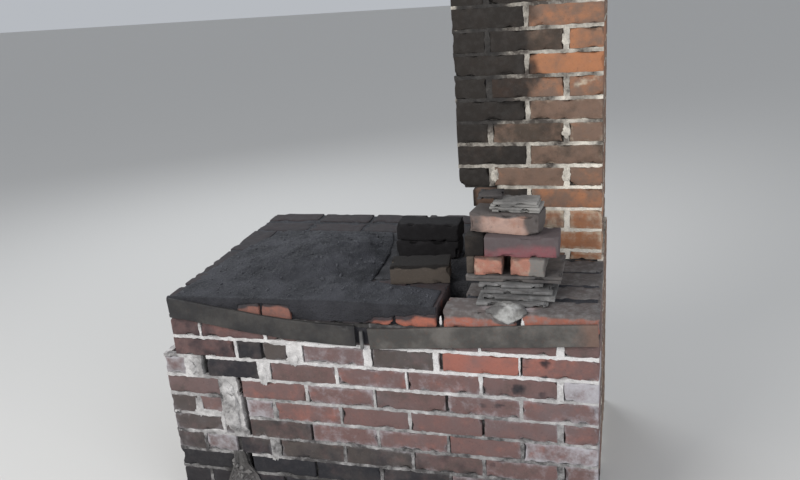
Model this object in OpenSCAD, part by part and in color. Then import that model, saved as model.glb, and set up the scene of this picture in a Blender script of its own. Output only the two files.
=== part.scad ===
// Blacksmith's forge: a raised hearth of brick, filled with rubble,
// with a square brick chimney on its back corner.
// X runs along the front to the right, Y runs from the front to the back, and Z is up.
// The origin is on the floor, under the middle of the whole forge.

/* [Brick] */
// Length of a wall brick
brick_l = 203; // [195:1:240]
// Width of a wall brick
brick_w = 92; // [80:1:92]
// Height of a wall brick
brick_h = 57; // [50:1:70]
// Mortar joint between two bricks
joint = 10; // [6:1:14]

/* [Hearth] */
// Stretchers along the front
front_bricks = 6; // [6:1:8]
// Stretchers from the front to the back
side_bricks = 4; // [4:1:6]
// Courses up to the top of the hearth
hearth_courses = 11; // [9:1:13]
// Depth of the layer of packed earth and ash between the top bricks
bed_depth = 57; // [40:1:70]

/* [Cracked corner] */
// Courses from the top down to the first one that the crack runs through
crack_from = 3; // [2:1:4]
// How far the corner below the crack has moved out to the left
corner_shift = 45; // [20:1:60]
// Width of the open crack
crack_w = 18; // [8:1:24]
// Height of the mortar that has run out at the foot of the crack
spill_h = 215; // [120:1:320]
// Width of that mortar along the wall, at the floor
spill_w = 190; // [100:1:240]
// How far its middle lies left of the first whole joint of the front
spill_left = 38; // [0:1:60]
// How far that mortar stands out from the wall, at the floor
spill_out = 42; // [25:1:80]

/* [Top course] */
// Tight joint between the loose bricks of the top course
tight_joint = 6; // [3:1:9]
// Open joint where mortar and a piece of brick are missing
open_joint = 18; // [12:1:30]
// Length of the broken brick beside the open joint
bat_l = 120; // [100:1:150]
// Length missing from the brick behind the open joint
missing_l = 42; // [20:1:80]

/* [Edge bars] */
// Height of the flat iron bars on the front
bar_h = 62; // [50:1:90]
// Thickness of the flat iron bars
bar_t = 10; // [6:1:16]
// Length of the right bar
bar_right_l = 637; // [500:1:760]
// Drop of the right bar's top edge below the hearth at its right end
bar_right_drop = 21; // [10:1:40]
// Tilt of the right bar, down to its left end, in degrees
bar_right_tilt = 4.2; // [0:0.1:5]
// Gap between the left bar and the right bar
bar_gap = 36; // [20:1:60]
// Width of the upright strip in that gap
strip_w = 9; // [6:1:14]
// Height of the upright strip
strip_h = 56; // [50:1:90]
// How far the left bar sags from its left end to its right end
bar_sag = 61; // [20:1:90]

/* [Chimney] */
// Stretchers along each side of the chimney
chimney_bricks = 2; // [2:1:3]
// Courses of the chimney, from the floor
chimney_courses = 36; // [28:1:45]
// Length of the chimney's bricks, a little longer than those of the hearth
chimney_brick_l = 208; // [195:1:220]
// Wide upright joints of the chimney
chimney_joint = 14; // [10:1:28]
// How far the chimney stands in from the right end of the forge
chimney_inset = 8; // [0:1:15]
// Levelling bed under the chimney, which sets its joints off from those of the hearth
levelling_bed = 22; // [5:1:30]
// Width of the smoke hole in the chimney's front, from its left corner
smoke_hole_w = 118; // [100:1:150]
// Height of the broken notch at the smoke hole's upper corner
notch_h = 22; // [10:1:40]
// Width of the broken notch at the smoke hole's upper corner
notch_w = 34; // [20:1:50]

/* [Fire] */
// Width of the fire pit
pit_w = 200; // [150:1:230]
// Length of the fire pit from front to back
pit_l = 100; // [80:1:120]
// Depth of the fire pit
pit_depth = 95; // [70:1:130]
// Distance from the forge's right end to the fire pit
pit_from_right = 440; // [430:1:460]
// Distance from the forge's front to the fire pit
pit_from_front = 285; // [280:1:300]
// Length of the brick in front of the fire pit, which has lost one end
fire_brick_l = 176; // [150:1:203]
// Turn of that brick, in degrees
fire_brick_turn = 9; // [0:1:12]
// Distance from the forge's front to that brick's left corner
fire_brick_from_front = 160; // [150:1:165]

/* [Coal] */
// Height of the big heap of coal dust, behind and left of the fire
heap_h = 62; // [30:1:100]
// Length of the coal dust from the front to the back
heap_l = 630; // [560:1:640]
// Distance from the forge's left end to the coal dust
heap_from_left = 23; // [15:1:60]
// Distance from the forge's right end to the coal dust by the front edge
heap_from_right = 446; // [440:1:470]
// Distance from the forge's right end to the coal dust beside the fire
heap_back_from_right = 672; // [660:1:700]
// Height of the coal dust along the front
front_heap_h = 24; // [10:1:40]
// Height of the grey ash heap by the front edge
ash_h = 18; // [8:1:30]
// Width of the grey ash heap along the front edge
ash_w = 116; // [80:1:130]
// Distance from the forge's right end to the grey ash heap
ash_from_right = 184; // [170:1:200]

/* [Loose pile] */
// Length of a loose brick
loose_l = 204; // [190:1:220]
// Width of a loose brick
loose_w = 94; // [85:1:96]
// Height of a loose brick
loose_h = 59; // [55:1:66]
// Height of the two low bricks that stand end on
low_h = 50; // [45:1:60]
// Width of the left one of them
low_left_w = 79; // [70:1:84]
// Dark slot between the two low bricks
slot_w = 22; // [12:1:28]
// Width of the thin slip of brick beside them
slip_w = 22; // [12:1:30]
// Length of that slip
slip_l = 110; // [60:1:150]
// Length of the broken brick beside the middle brick
bat_pile_l = 104; // [60:1:120]
// Width of that broken brick
bat_pile_w = 52; // [40:1:60]
// How far the top brick hangs over the middle brick, to the left
top_overhang = 44; // [0:1:60]
// Length of the brick on top of the pile
top_l = 195; // [185:1:210]
// Turn of the brick on top of the pile, in degrees
top_turn = -7; // [-9:1:0]
// Thickness of each flat iron bar under the pile
flat_t = 11; // [8:1:14]
// Flat iron bars on each other under the pile
flats = 4; // [2:1:5]
// Distance from the forge's front to the lowest flat bar
flat_from_front = 36; // [36:1:50]
// How far each flat bar lies behind the one below
flat_step = 17; // [8:1:18]
// Distance from the slate plate's front to the back ends of the flat bars
flat_under = 150; // [120:1:170]
// Thickness of the slate plate on the flat bars
plate_t = 18; // [10:1:24]
// Thickness of a slate on top of the pile
slate_t = 16; // [10:1:24]
// Length of the largest slate on top of the pile
slate_l = 140; // [110:1:150]
// Width of the largest slate on top of the pile
slate_w = 80; // [60:1:90]
// Width of the slate plate
plate_w = 265; // [255:1:275]
// Distance from the forge's front to the slate plate
pile_from_front = 100; // [90:1:110]
// Distance from the forge's right end to the right end of the slate plate
pile_from_right = 104; // [90:1:130]

/* [Hidden] */

module_l = brick_l + joint;
course_h = brick_h + joint;
wall_t = brick_l;
hearth_w = front_bricks * module_l - joint;
hearth_d = side_bricks * module_l - joint;
hearth_z = hearth_courses * course_h;
wall_z = hearth_z - brick_h;
chimney_w = chimney_bricks * chimney_brick_l + (chimney_bricks - 1) * chimney_joint;
chimney_z = levelling_bed + chimney_courses * course_h;

// Edges of the forge in plan
right = (hearth_w + corner_shift) / 2;
left = right - hearth_w;
front = -(hearth_d + spill_out) / 2 + spill_out;
back = front + hearth_d;
chimney_right_x = right - chimney_inset;
chimney_left_x = chimney_right_x - chimney_w;
chimney_front_y = back - chimney_w;

// Level of the top of the smoke hole
smoke_courses = ceil((hearth_z - levelling_bed) / course_h) + 3;
smoke_z = levelling_bed + smoke_courses * course_h;

// Loose pile, from the hearth up
flats_z = hearth_z + flats * flat_t;
plate_z = flats_z + plate_t;
low_z = plate_z + low_h;
middle_z = low_z + loose_h;
top_z = middle_z + loose_h;
pile_y = front + pile_from_front;
plate_x = right - pile_from_right;

// A block from its lowest to its highest corner
module block(low, high) {
    translate(low) cube(high - low);
}

// One course of the hearth, counted from the top, between two places along the front
module front_courses(x0, x1, from_course, to_course) {
    z1 = from_course == 1 ? wall_z : hearth_z - from_course * course_h;
    block([x0, front, max(0, hearth_z - to_course * course_h)], [x1, front + wall_t, z1]);
}

// A heap lofted over rows from front to back: each row is [y, left x, right x, height].
// A skew above 1 moves its highest line to the right.
function heap_rise(height, u, skew) = max(2, height * pow(sin(180 * pow(u, skew)), 0.8));
function heap_point(row, u, skew) =
    [row[1] + (row[2] - row[1]) * u, row[0], hearth_z + heap_rise(row[3], u, skew)];
module heap(rows, steps, skew) {
    n = steps + 1;
    m = len(rows);
    top = [for (row = rows) for (i = [0 : steps]) heap_point(row, i / steps, skew)];
    low = [for (row = rows) for (i = [0 : steps])
        [heap_point(row, i / steps, skew)[0], row[0], hearth_z]];
    faces = [
        for (j = [0 : m - 2]) for (i = [0 : steps - 1]) each [
            [j * n + i, (j + 1) * n + i, (j + 1) * n + i + 1],
            [j * n + i, (j + 1) * n + i + 1, j * n + i + 1],
            [m * n + j * n + i, m * n + j * n + i + 1, m * n + (j + 1) * n + i + 1],
            [m * n + j * n + i, m * n + (j + 1) * n + i + 1, m * n + (j + 1) * n + i]],
        for (i = [0 : steps - 1]) each [
            [i, i + 1, m * n + i + 1],
            [i, m * n + i + 1, m * n + i],
            [(m - 1) * n + i + 1, (m - 1) * n + i, m * n + (m - 1) * n + i],
            [(m - 1) * n + i + 1, m * n + (m - 1) * n + i, m * n + (m - 1) * n + i + 1]],
        for (j = [0 : m - 2]) each [
            [(j + 1) * n, j * n, m * n + j * n],
            [(j + 1) * n, m * n + j * n, m * n + (j + 1) * n],
            [j * n + steps, (j + 1) * n + steps, m * n + (j + 1) * n + steps],
            [j * n + steps, m * n + (j + 1) * n + steps, m * n + j * n + steps]]];
    polyhedron(concat(top, low), faces);
}

// The front below its top course, stepped back where the corner has broken away
module front_wall() {
    color([0.50, 0.27, 0.22]) {
        front_courses(left, right, 1, crack_from);
        front_courses(right - module_l * (front_bricks - 0.5) + joint, right, crack_from, crack_from + 1);
        front_courses(right - module_l * (front_bricks - 1) + joint, right, crack_from + 1, hearth_courses);
    }
}

// The corner that has cracked off and moved out to the left, with the mortar that filled the joint
module cracked_corner() {
    low_x = right - module_l * (front_bricks - 1) + joint - crack_w;
    high_x = right - module_l * (front_bricks - 0.5) + joint - crack_w;
    color([0.55, 0.42, 0.38]) {
        front_courses(left - corner_shift, high_x, crack_from, crack_from + 1);
        front_courses(left - corner_shift, low_x, crack_from + 1, hearth_courses);
    }
}

module left_wall() {
    color([0.47, 0.27, 0.22]) block([left, front + wall_t, 0], [left + wall_t, back - wall_t, wall_z]);
}

module right_wall() {
    color([0.50, 0.28, 0.22]) block([right - wall_t, front + wall_t, 0], [right, chimney_front_y, wall_z]);
}

module back_wall() {
    color([0.47, 0.27, 0.22]) block([left, back - wall_t, 0], [chimney_left_x, back, wall_z]);
}

// Rubble between the walls, with the fire pit sunk into it
module rubble_core() {
    core_z = hearth_z - bed_depth;
    color([0.36, 0.32, 0.29]) difference() {
        union() {
            block([left + wall_t, front + wall_t, 0], [right - wall_t, chimney_front_y, core_z]);
            block([left + wall_t, front + wall_t, 0], [chimney_left_x, back - wall_t, core_z]);
        }
        fire_pit();
    }
}

// The space of the fire pit, cut from what it is sunk into
module fire_pit() {
    pit_x = right - pit_from_right;
    pit_y = front + pit_from_front;
    block([pit_x - pit_w, pit_y, hearth_z - pit_depth], [pit_x, pit_y + pit_l, hearth_z + 1]);
}

// Two bricks side by side, or one laid through the wall
module top_stretcher(x, length) {
    block([x, front, wall_z], [x + length, front + brick_w, hearth_z]);
    block([x, front + wall_t - brick_w, wall_z], [x + length, front + wall_t, hearth_z]);
}
module top_header(x, width) {
    block([x, front, wall_z], [x + width, front + wall_t, hearth_z]);
}

// Places along the front where the bricks of the top course start, from the right
top_x1 = right - brick_l;
top_x2 = top_x1 - joint - brick_l;
top_x3 = top_x2 - open_joint - bat_l;
top_x4 = top_x3 - tight_joint - brick_w;
top_x5 = top_x4 - tight_joint - brick_l;
top_x6 = top_x5 - tight_joint - brick_w;
top_x7 = top_x6 - tight_joint - brick_w;

module top_bricks_front_right() {
    color([0.55, 0.30, 0.25]) {
        top_stretcher(top_x1, brick_l);
        block([top_x2, front, wall_z], [top_x2 + brick_l, front + brick_w, hearth_z]);
        block([top_x2 + missing_l, front + wall_t - brick_w, wall_z],
            [top_x2 + brick_l, front + wall_t, hearth_z]);
    }
}

module top_bricks_front_middle() {
    color([0.42, 0.28, 0.26]) {
        top_header(top_x3, bat_l);
        top_header(top_x4, brick_w);
    }
}

module top_bricks_front_left() {
    rest_l = top_x7 - tight_joint - left;
    color([0.30, 0.24, 0.23]) {
        top_stretcher(top_x5, brick_l);
        top_header(top_x6, brick_w);
        top_header(top_x7, brick_w);
        top_stretcher(left, rest_l);
    }
}

// The left side is laid with stretchers in two rows
module top_bricks_left() {
    run = back - wall_t - front - wall_t;
    count = round(run / module_l);
    step = run / count;
    color([0.24, 0.21, 0.21]) for (i = [0 : count - 1], x = [left, left + wall_t - brick_w])
        block([x, front + wall_t + i * step + joint / 2, wall_z],
            [x + brick_w, front + wall_t + (i + 1) * step - joint / 2, hearth_z]);
}

// The short right side is laid with bricks through the wall
module top_bricks_right() {
    run = chimney_front_y - front - wall_t;
    count = floor(run / (brick_w + joint));
    step = run / count;
    color([0.34, 0.26, 0.24]) for (i = [0 : count - 1])
        block([right - wall_t, front + wall_t + i * step + joint / 2, wall_z],
            [right, front + wall_t + (i + 1) * step - joint / 2, hearth_z]);
}

module top_bricks_back() {
    run = chimney_left_x - left;
    count = round(run / module_l);
    step = run / count;
    color([0.30, 0.26, 0.25]) for (i = [0 : count - 1], y = [back - wall_t, back - brick_w])
        block([left + i * step + joint / 2, y, wall_z],
            [left + (i + 1) * step - joint / 2, y + brick_w, hearth_z]);
}

// Packed earth and ash between the top bricks
module hearth_bed() {
    core_z = hearth_z - bed_depth;
    color([0.20, 0.20, 0.21]) difference() {
        union() {
            block([left + wall_t, front + wall_t, core_z], [right - wall_t, chimney_front_y, hearth_z]);
            block([left + wall_t, front + wall_t, core_z], [chimney_left_x, back - wall_t, hearth_z]);
        }
        fire_pit();
    }
}

// Coal dust, highest left of the fire and thin along the front and the left edge
heap_left = left + heap_from_left;
heap_right_front = right - heap_from_right;
heap_right_back = right - heap_back_from_right;
heap_margin = 8;
heap_thin = 5;
heap_back_run = heap_l * 0.45;
heap_step_y = fire_brick_from_front - 35;
function heap_side(y) =
    y <= heap_step_y ? heap_right_front
    : heap_right_back + (heap_right_front - heap_right_back) * pow(max(0, 1 - (y - heap_step_y) / 30), 2);
function heap_height(y) = heap_thin + (y <= heap_step_y
    ? front_heap_h * sin(90 * y / heap_step_y)
    : front_heap_h + (heap_h - front_heap_h) * sin(90 * min(1, (y - heap_step_y) / 200)))
    * cos(90 * max(0, (y - heap_l + heap_back_run) / heap_back_run));
heap_steps = [for (k = [heap_margin, 45, 85, 125, 155, 200, 250, 300, 350, 400, 450, 500, 550, 600]) k];
heap_rows = [for (y = concat([for (k = heap_steps) if (k < heap_l - 20) k], [heap_l]))
    [front + y,
        heap_left + 110 * pow(y / heap_l, 3),
        heap_side(y) - 60 * pow(y / heap_l, 4),
        heap_height(y)]];
module coal_heap() {
    color([0.16, 0.17, 0.19]) heap(heap_rows, 18, 1.6);
}

// Grey ash tipped out over the bricks by the front edge, against the lowest flat bar
ash_d = flat_from_front - 4;
ash_rows = [for (t = [0 : 0.125 : 1.0001])
    [front + 3 + ash_d * t, right - ash_from_right - ash_w + 12 * t, right - ash_from_right - 14 * t,
        3 + ash_h * sin(20 + 100 * t)]];
module ash_heap() {
    color([0.55, 0.55, 0.54]) heap(ash_rows, 10, 1);
}

// Mortar and lime that have run out of the crack, leaning on the wall
spill_x = left + brick_l + joint / 2 - spill_left;
module mortar_spill() {
    color([0.62, 0.61, 0.58]) translate([spill_x, front, 0]) intersection() {
        linear_extrude(height = spill_h, scale = 0.16)
            scale([spill_w / 2, spill_out]) circle(r = 1, $fn = 28);
        translate([-spill_w, -spill_out * 2, 0]) cube([spill_w * 2, spill_out * 2, spill_h]);
    }
}

// The left bar hangs lower and lower towards the middle
bar_left_l = hearth_w - joint - bar_gap - bar_right_l;
function bar_drop(t) = bar_sag * pow(sin(90 * t), 1.2);
module edge_bar_left() {
    steps = 24;
    upper = [for (i = [0 : steps]) [bar_left_l * i / steps, -bar_drop(i / steps)]];
    lower = [for (i = [steps : -1 : 0]) [bar_left_l * i / steps, -bar_drop(i / steps) - bar_h]];
    color([0.26, 0.25, 0.22]) translate([left + joint, front, hearth_z]) rotate([90, 0, 0])
        linear_extrude(height = bar_t) polygon(concat(upper, lower));
}

module edge_bar_right() {
    color([0.27, 0.25, 0.22]) translate([right, front - bar_t, hearth_z - bar_right_drop])
        rotate([0, -bar_right_tilt, 0]) translate([-bar_right_l, 0, -bar_h])
            cube([bar_right_l - bar_h * sin(bar_right_tilt), bar_t, bar_h]);
}

// Upright strip of iron in the gap between the bars
strip_z = hearth_z - bar_sag - 15;
module gap_strip() {
    color([0.45, 0.44, 0.42])
        translate([right - bar_right_l - (bar_gap + strip_w) * 0.5, front - bar_t, strip_z])
            mirror([0, 0, 1]) cube([strip_w, bar_t, strip_h]);
}

// Everything of the chimney below the hearth is one mass of brick
module chimney_base() {
    color([0.48, 0.28, 0.22]) block([chimney_left_x, chimney_front_y, 0], [right, back, hearth_z]);
}

// The front, with the smoke hole broken through its lower left corner
module chimney_front() {
    color([0.46, 0.29, 0.24]) difference() {
        block([chimney_left_x, chimney_front_y, hearth_z],
            [chimney_right_x, chimney_front_y + brick_w, chimney_z]);
        block([chimney_left_x - 1, chimney_front_y - 1, hearth_z - 1],
            [chimney_left_x + smoke_hole_w, chimney_front_y + brick_w + 1, smoke_z]);
        translate([chimney_left_x + smoke_hole_w - notch_w, chimney_front_y - 1, smoke_z - 1])
            rotate([-90, 0, 0]) linear_extrude(height = brick_w + 2)
                polygon([[0, 0], [notch_w, 0], [notch_w * 0.8, -notch_h * 0.6],
                    [notch_w * 0.45, -notch_h - 1], [notch_w * 0.2, -notch_h * 0.7]]);
    }
}

// The left side, over the smoke hole
module chimney_left() {
    color([0.30, 0.24, 0.22]) block([chimney_left_x, chimney_front_y + brick_w, smoke_z],
        [chimney_left_x + brick_w, back - brick_w, chimney_z]);
}

module chimney_right() {
    color([0.50, 0.30, 0.23]) block([chimney_right_x - brick_w, chimney_front_y + brick_w, hearth_z],
        [chimney_right_x, back - brick_w, chimney_z]);
}

module chimney_back() {
    color([0.48, 0.28, 0.22])
        block([chimney_left_x, back - brick_w, hearth_z], [chimney_right_x, back, chimney_z]);
}

// The brick that holds the fire in at the front
module fire_brick() {
    color([0.38, 0.31, 0.25])
        translate([right - pit_from_right - pit_w + 34, front + fire_brick_from_front, hearth_z])
            rotate(fire_brick_turn) cube([fire_brick_l, brick_w, brick_h]);
}

// Two courses at the back of the fire
fireback_x = right - pit_from_right - pit_w - 8;
fireback_y = front + pit_from_front + pit_l;
module fireback_lower() {
    color([0.13, 0.12, 0.13]) block([fireback_x, fireback_y, hearth_z],
        [fireback_x + brick_l, fireback_y + brick_w, hearth_z + brick_h]);
}

module fireback_upper() {
    color([0.11, 0.10, 0.11]) translate([fireback_x + 3, fireback_y + 2, hearth_z + brick_h])
        rotate(-1) cube([brick_l, brick_w, brick_h]);
}

// Flat iron bars on each other, each laid a little behind and off the one below
flat_back = pile_from_front + flat_under;
flat_shift = 9;
module flat_bars() {
    color([0.33, 0.33, 0.34]) for (i = [0 : flats - 1]) {
        y = flat_from_front + flat_step * i;
        translate([plate_x - loose_l - 22 + flat_shift * ((i * 2) % 3), front + y, hearth_z + flat_t * i])
            cube([loose_l - 2 * flat_shift * (i % 2), flat_back - y, flat_t]);
    }
}

// A thin slate over the flat bars
plate_d = brick_l - 13;
plate_left_x = plate_x - plate_w;
module slate_plate() {
    color([0.36, 0.36, 0.37]) translate([plate_left_x, pile_y, flats_z]) cube([plate_w, plate_d, plate_t]);
}

// Two bricks that stand end on, with a dark slot between them
low_left_x = plate_left_x + 25;
low_y = pile_y + 4;
module pile_brick_low_left() {
    color([0.70, 0.48, 0.38]) translate([low_left_x, low_y, plate_z])
        cube([low_left_w, loose_l - 30, low_h]);
}

module pile_brick_low_right() {
    color([0.64, 0.44, 0.37]) translate([low_left_x + low_left_w + slot_w, low_y, plate_z])
        cube([loose_w, loose_l - 30, low_h]);
}

// Thin slip of brick that stands at the left, under the broken brick
module pile_slip() {
    color([0.40, 0.38, 0.37]) translate([low_left_x - slip_w - 1, low_y + 10, plate_z])
        cube([slip_w, slip_l, low_h]);
}

// Broken brick at the left, beside the middle brick
middle_x = plate_x - loose_l - 8;
module pile_bat() {
    color([0.24, 0.21, 0.20]) translate([middle_x - bat_pile_w - 2, pile_y + 18, low_z])
        cube([bat_pile_w, bat_pile_l, loose_h]);
}

module pile_brick_middle() {
    color([0.45, 0.25, 0.29]) translate([middle_x, pile_y + 15, low_z]) cube([loose_l, loose_w, loose_h]);
}

module pile_brick_top() {
    color([0.74, 0.60, 0.54]) translate([middle_x - top_overhang, pile_y + 52, middle_z]) rotate(top_turn)
        cube([top_l, loose_w, loose_h]);
}

slate_x = middle_x + 12;
slate_y = pile_y + 50;
module pile_slate_lower() {
    color([0.44, 0.44, 0.45]) translate([slate_x, slate_y, top_z]) rotate(top_turn * 0.7)
        cube([slate_l, slate_w, slate_t]);
}

module pile_slate_middle() {
    color([0.41, 0.41, 0.42]) translate([slate_x + 4, slate_y - 4, top_z + slate_t]) rotate(top_turn * 0.2)
        cube([slate_l - 6, slate_w - 4, slate_t]);
}

module pile_slate_upper() {
    color([0.38, 0.38, 0.39]) translate([slate_x - 36, slate_y + 12, top_z + slate_t * 2]) rotate(3)
        cube([slate_l * 0.56, slate_w * 0.78, slate_t]);
}

front_wall();
cracked_corner();
left_wall();
right_wall();
back_wall();
rubble_core();
top_bricks_front_left();
top_bricks_front_middle();
top_bricks_front_right();
top_bricks_left();
top_bricks_right();
top_bricks_back();
hearth_bed();
coal_heap();
ash_heap();
mortar_spill();
edge_bar_left();
edge_bar_right();
gap_strip();
chimney_base();
chimney_front();
chimney_left();
chimney_right();
chimney_back();
fire_brick();
fireback_lower();
fireback_upper();
flat_bars();
slate_plate();
pile_brick_low_left();
pile_brick_low_right();
pile_slip();
pile_bat();
pile_brick_middle();
pile_brick_top();
pile_slate_lower();
pile_slate_middle();
pile_slate_upper();
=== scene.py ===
import math
import random
import bmesh
import bpy
from mathutils import Matrix, Vector, noise
from mathutils.bvhtree import BVHTree


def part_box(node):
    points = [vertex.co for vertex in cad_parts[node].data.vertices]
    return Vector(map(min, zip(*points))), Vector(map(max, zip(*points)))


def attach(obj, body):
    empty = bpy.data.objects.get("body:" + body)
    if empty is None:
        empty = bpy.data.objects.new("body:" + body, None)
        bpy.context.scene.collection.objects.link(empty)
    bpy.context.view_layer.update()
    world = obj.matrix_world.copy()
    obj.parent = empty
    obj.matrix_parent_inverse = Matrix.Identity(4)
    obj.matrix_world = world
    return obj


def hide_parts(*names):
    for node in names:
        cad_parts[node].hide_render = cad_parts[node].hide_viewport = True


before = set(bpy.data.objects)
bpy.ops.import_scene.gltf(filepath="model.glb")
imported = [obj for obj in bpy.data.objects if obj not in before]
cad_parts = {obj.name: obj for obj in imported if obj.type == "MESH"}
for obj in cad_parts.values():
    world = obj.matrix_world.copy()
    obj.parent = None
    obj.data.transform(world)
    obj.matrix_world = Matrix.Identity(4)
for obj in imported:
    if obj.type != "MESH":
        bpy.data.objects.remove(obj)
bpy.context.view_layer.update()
scene = bpy.context.scene

# places that everything else is worked out from, all in metres
frontLow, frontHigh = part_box("front_wall")
chimneyLow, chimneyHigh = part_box("chimney_front")
leftEdge, rightEdge, frontFace = frontLow.x, frontHigh.x, frontLow.y
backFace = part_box("chimney_back")[1].y
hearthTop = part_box("hearth_bed")[1].z
chimneyEdge, chimneyRight = chimneyLow.x, chimneyHigh.x
chimneyFace, chimneyTop = chimneyLow.y, chimneyHigh.z
wallDepth, wallWidth = frontHigh.y - frontLow.y, rightEdge - leftEdge
brick = {"length": 0.203, "width": 0.092, "height": 0.057, "joint": 0.010, "levellingBed": 0.022}
moduleLength = brick["length"] + brick["joint"]
coursePitch = brick["height"] + brick["joint"]
headerStart = brick["length"] / 2 + brick["joint"]


def clamp(value, low=0.0, high=1.0):
    return max(low, min(high, value))


def smooth(value, low, high):
    t = clamp((value - low) / (high - low))
    return t * t * (3 - 2 * t)


def lumps(place, scale, seed=0.0):
    x, y, z = (place[axis] * scale for axis in range(3))
    return noise.noise(Vector((x + seed, y - seed * 1.7, z + seed * 0.6)))


# shader nodes: every input takes a number, a colour or another node's socket

def feed(tree, socket, value):
    if isinstance(value, bpy.types.NodeSocket):
        tree.links.new(value, socket)
    else:
        socket.default_value = (*value, 1.0) if isinstance(value, tuple) else value


def addNode(tree, kind, inputs, **settings):
    node = tree.nodes.new("ShaderNode" + kind)
    for key, value in settings.items():
        setattr(node, key, value)
    for name, value in inputs.items():
        feed(tree, node.inputs[name], value)
    return node


def addMath(tree, operation, a, b, limit=False):
    return addNode(tree, "Math", {0: a, 1: b}, operation=operation, use_clamp=limit).outputs[0]


# noise turned into a shift to either side
def addSway(tree, cloud, amount):
    return addMath(tree, "MULTIPLY", addMath(tree, "SUBTRACT", cloud, 0.5), amount)


def addMix(tree, factor, a, b):
    return addNode(tree, "Mix", {0: factor, 6: a, 7: b}, data_type="RGBA").outputs[2]


def addRange(tree, value, fromMin, fromMax, toMin=0.0, toMax=1.0):
    inputs = dict(enumerate((value, fromMin, fromMax, toMin, toMax)))
    return addNode(tree, "MapRange", inputs, interpolation_type="SMOOTHSTEP").outputs[0]


def addNoise(tree, place, scale, detail, roughness):
    inputs = {"Vector": place, "Scale": scale, "Detail": detail, "Roughness": roughness}
    return addNode(tree, "TexNoise", inputs).outputs["Fac"]


def addGrain(tree, place, scale):
    return addNode(tree, "TexVoronoi", {"Vector": place, "Scale": scale}).outputs["Distance"]


# every group takes a place besides its own inputs; build makes the nodes and gives back the outputs
def newGroup(name, build, inputs):
    group = bpy.data.node_groups.new(name, "ShaderNodeTree")
    group.interface.new_socket(name="Place", in_out="INPUT", socket_type="NodeSocketVector")
    for socketName, default in inputs.items():
        isColour = isinstance(default, tuple)
        kind = "NodeSocketColor" if isColour else "NodeSocketFloat"
        socket = group.interface.new_socket(name=socketName, in_out="INPUT", socket_type=kind)
        socket.default_value = (*default, 1.0) if isColour else default
    made = build(group, group.nodes.new("NodeGroupInput").outputs)
    for socketName, socket in made.items():
        kind = "NodeSocketColor" if socket.type == "RGBA" else "NodeSocketFloat"
        group.interface.new_socket(name=socketName, in_out="OUTPUT", socket_type=kind)
    end = group.nodes.new("NodeGroupOutput")
    for socketName, socket in made.items():
        feed(group, end.inputs[socketName], socket)
    return group


print("groups")


# fired clay: tone picks the brick's own colour, mottling and sand break it up
def firedClay(tree, given):
    place = given["Place"]
    cloud = addNoise(tree, place, 24.0, 6.0, 0.62)
    spots = addNoise(tree, place, 160.0, 4.0, 0.6)
    haze = addNoise(tree, place, 6.5, 4.0, 0.6)
    pits = addGrain(tree, place, 240.0)
    shift = addMath(tree, "MULTIPLY", addSway(tree, cloud, given["Mottle"]), 2.6)
    pick = addMath(tree, "ADD", given["Tone"], shift, True)
    lower = addMix(tree, addRange(tree, pick, 0.0, 0.5), given["Dark"], given["Middle"])
    upper = addMix(tree, addRange(tree, pick, 0.5, 1.0), lower, given["Bright"])
    sand = addMix(tree, addRange(tree, spots, 0.60, 0.80, 0.0, 0.22), upper, (0.42, 0.33, 0.29))
    burn = addMix(tree, addRange(tree, spots, 0.40, 0.26, 0.0, 0.45), sand, (0.045, 0.034, 0.032))
    hazing = addMath(tree, "MULTIPLY", addRange(tree, haze, 0.45, 0.75), given["Haze"])
    hollows = addRange(tree, pits, 0.0, 0.35, 0.0, 0.4)
    return {"Colour": addMix(tree, hazing, burn, given["Haze Colour"]),
            "Height": addMath(tree, "ADD", addMath(tree, "MULTIPLY", spots, 0.7), hollows)}


# soot and dust laid over a colour: the amount is broken up by smoke-like noise
def sootVeil(tree, given):
    cloud = addNoise(tree, given["Place"], 14.0, 6.0, 0.62)
    mask = addRange(tree, addMath(tree, "ADD", given["Amount"], addSway(tree, cloud, 0.9)), 0.28, 0.78)
    laid = addMix(tree, addMath(tree, "MULTIPLY", mask, 0.93), given["Colour"], given["Soot"])
    dust = addNoise(tree, given["Place"], 55.0, 5.0, 0.6)
    dusting = addMath(tree, "MULTIPLY", addRange(tree, dust, 0.40, 0.72), given["Dusting"])
    return {"Colour": addMix(tree, dusting, laid, given["Dust"])}


# lime that has bloomed out of the mortar: strongest along the rims of a brick
def limeBloom(tree, given):
    cloud = addNoise(tree, given["Place"], 34.0, 6.0, 0.65)
    fine = addNoise(tree, given["Place"], 190.0, 2.0, 0.5)
    atRim = addMath(tree, "ADD", given["Amount"], addMath(tree, "MULTIPLY", given["Rim"], 0.24))
    amount = addRange(tree, addMath(tree, "ADD", atRim, addSway(tree, cloud, 1.1)), 0.28, 0.92)
    mask = addMath(tree, "MULTIPLY", amount, addRange(tree, fine, 0.2, 0.6, 0.78, 0.95))
    return {"Colour": addMix(tree, mask, given["Colour"], given["Lime"])}


clayGroup = newGroup("firedClay", firedClay, {
    "Tone": 0.5, "Dark": (0.1, 0.05, 0.04), "Middle": (0.3, 0.14, 0.1), "Bright": (0.5, 0.2, 0.13),
    "Mottle": 0.3, "Haze": 0.4, "Haze Colour": (0.2, 0.18, 0.18)})
sootGroup = newGroup("sootVeil", sootVeil, {
    "Colour": (0.5, 0.5, 0.5), "Amount": 0.0, "Soot": (0.02, 0.019, 0.018), "Dust": (0.2, 0.19, 0.18), "Dusting": 0.1})
limeGroup = newGroup("limeBloom", limeBloom, {
    "Colour": (0.5, 0.5, 0.5), "Amount": 0.0, "Rim": 0.0, "Lime": (0.72, 0.70, 0.68)})


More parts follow.
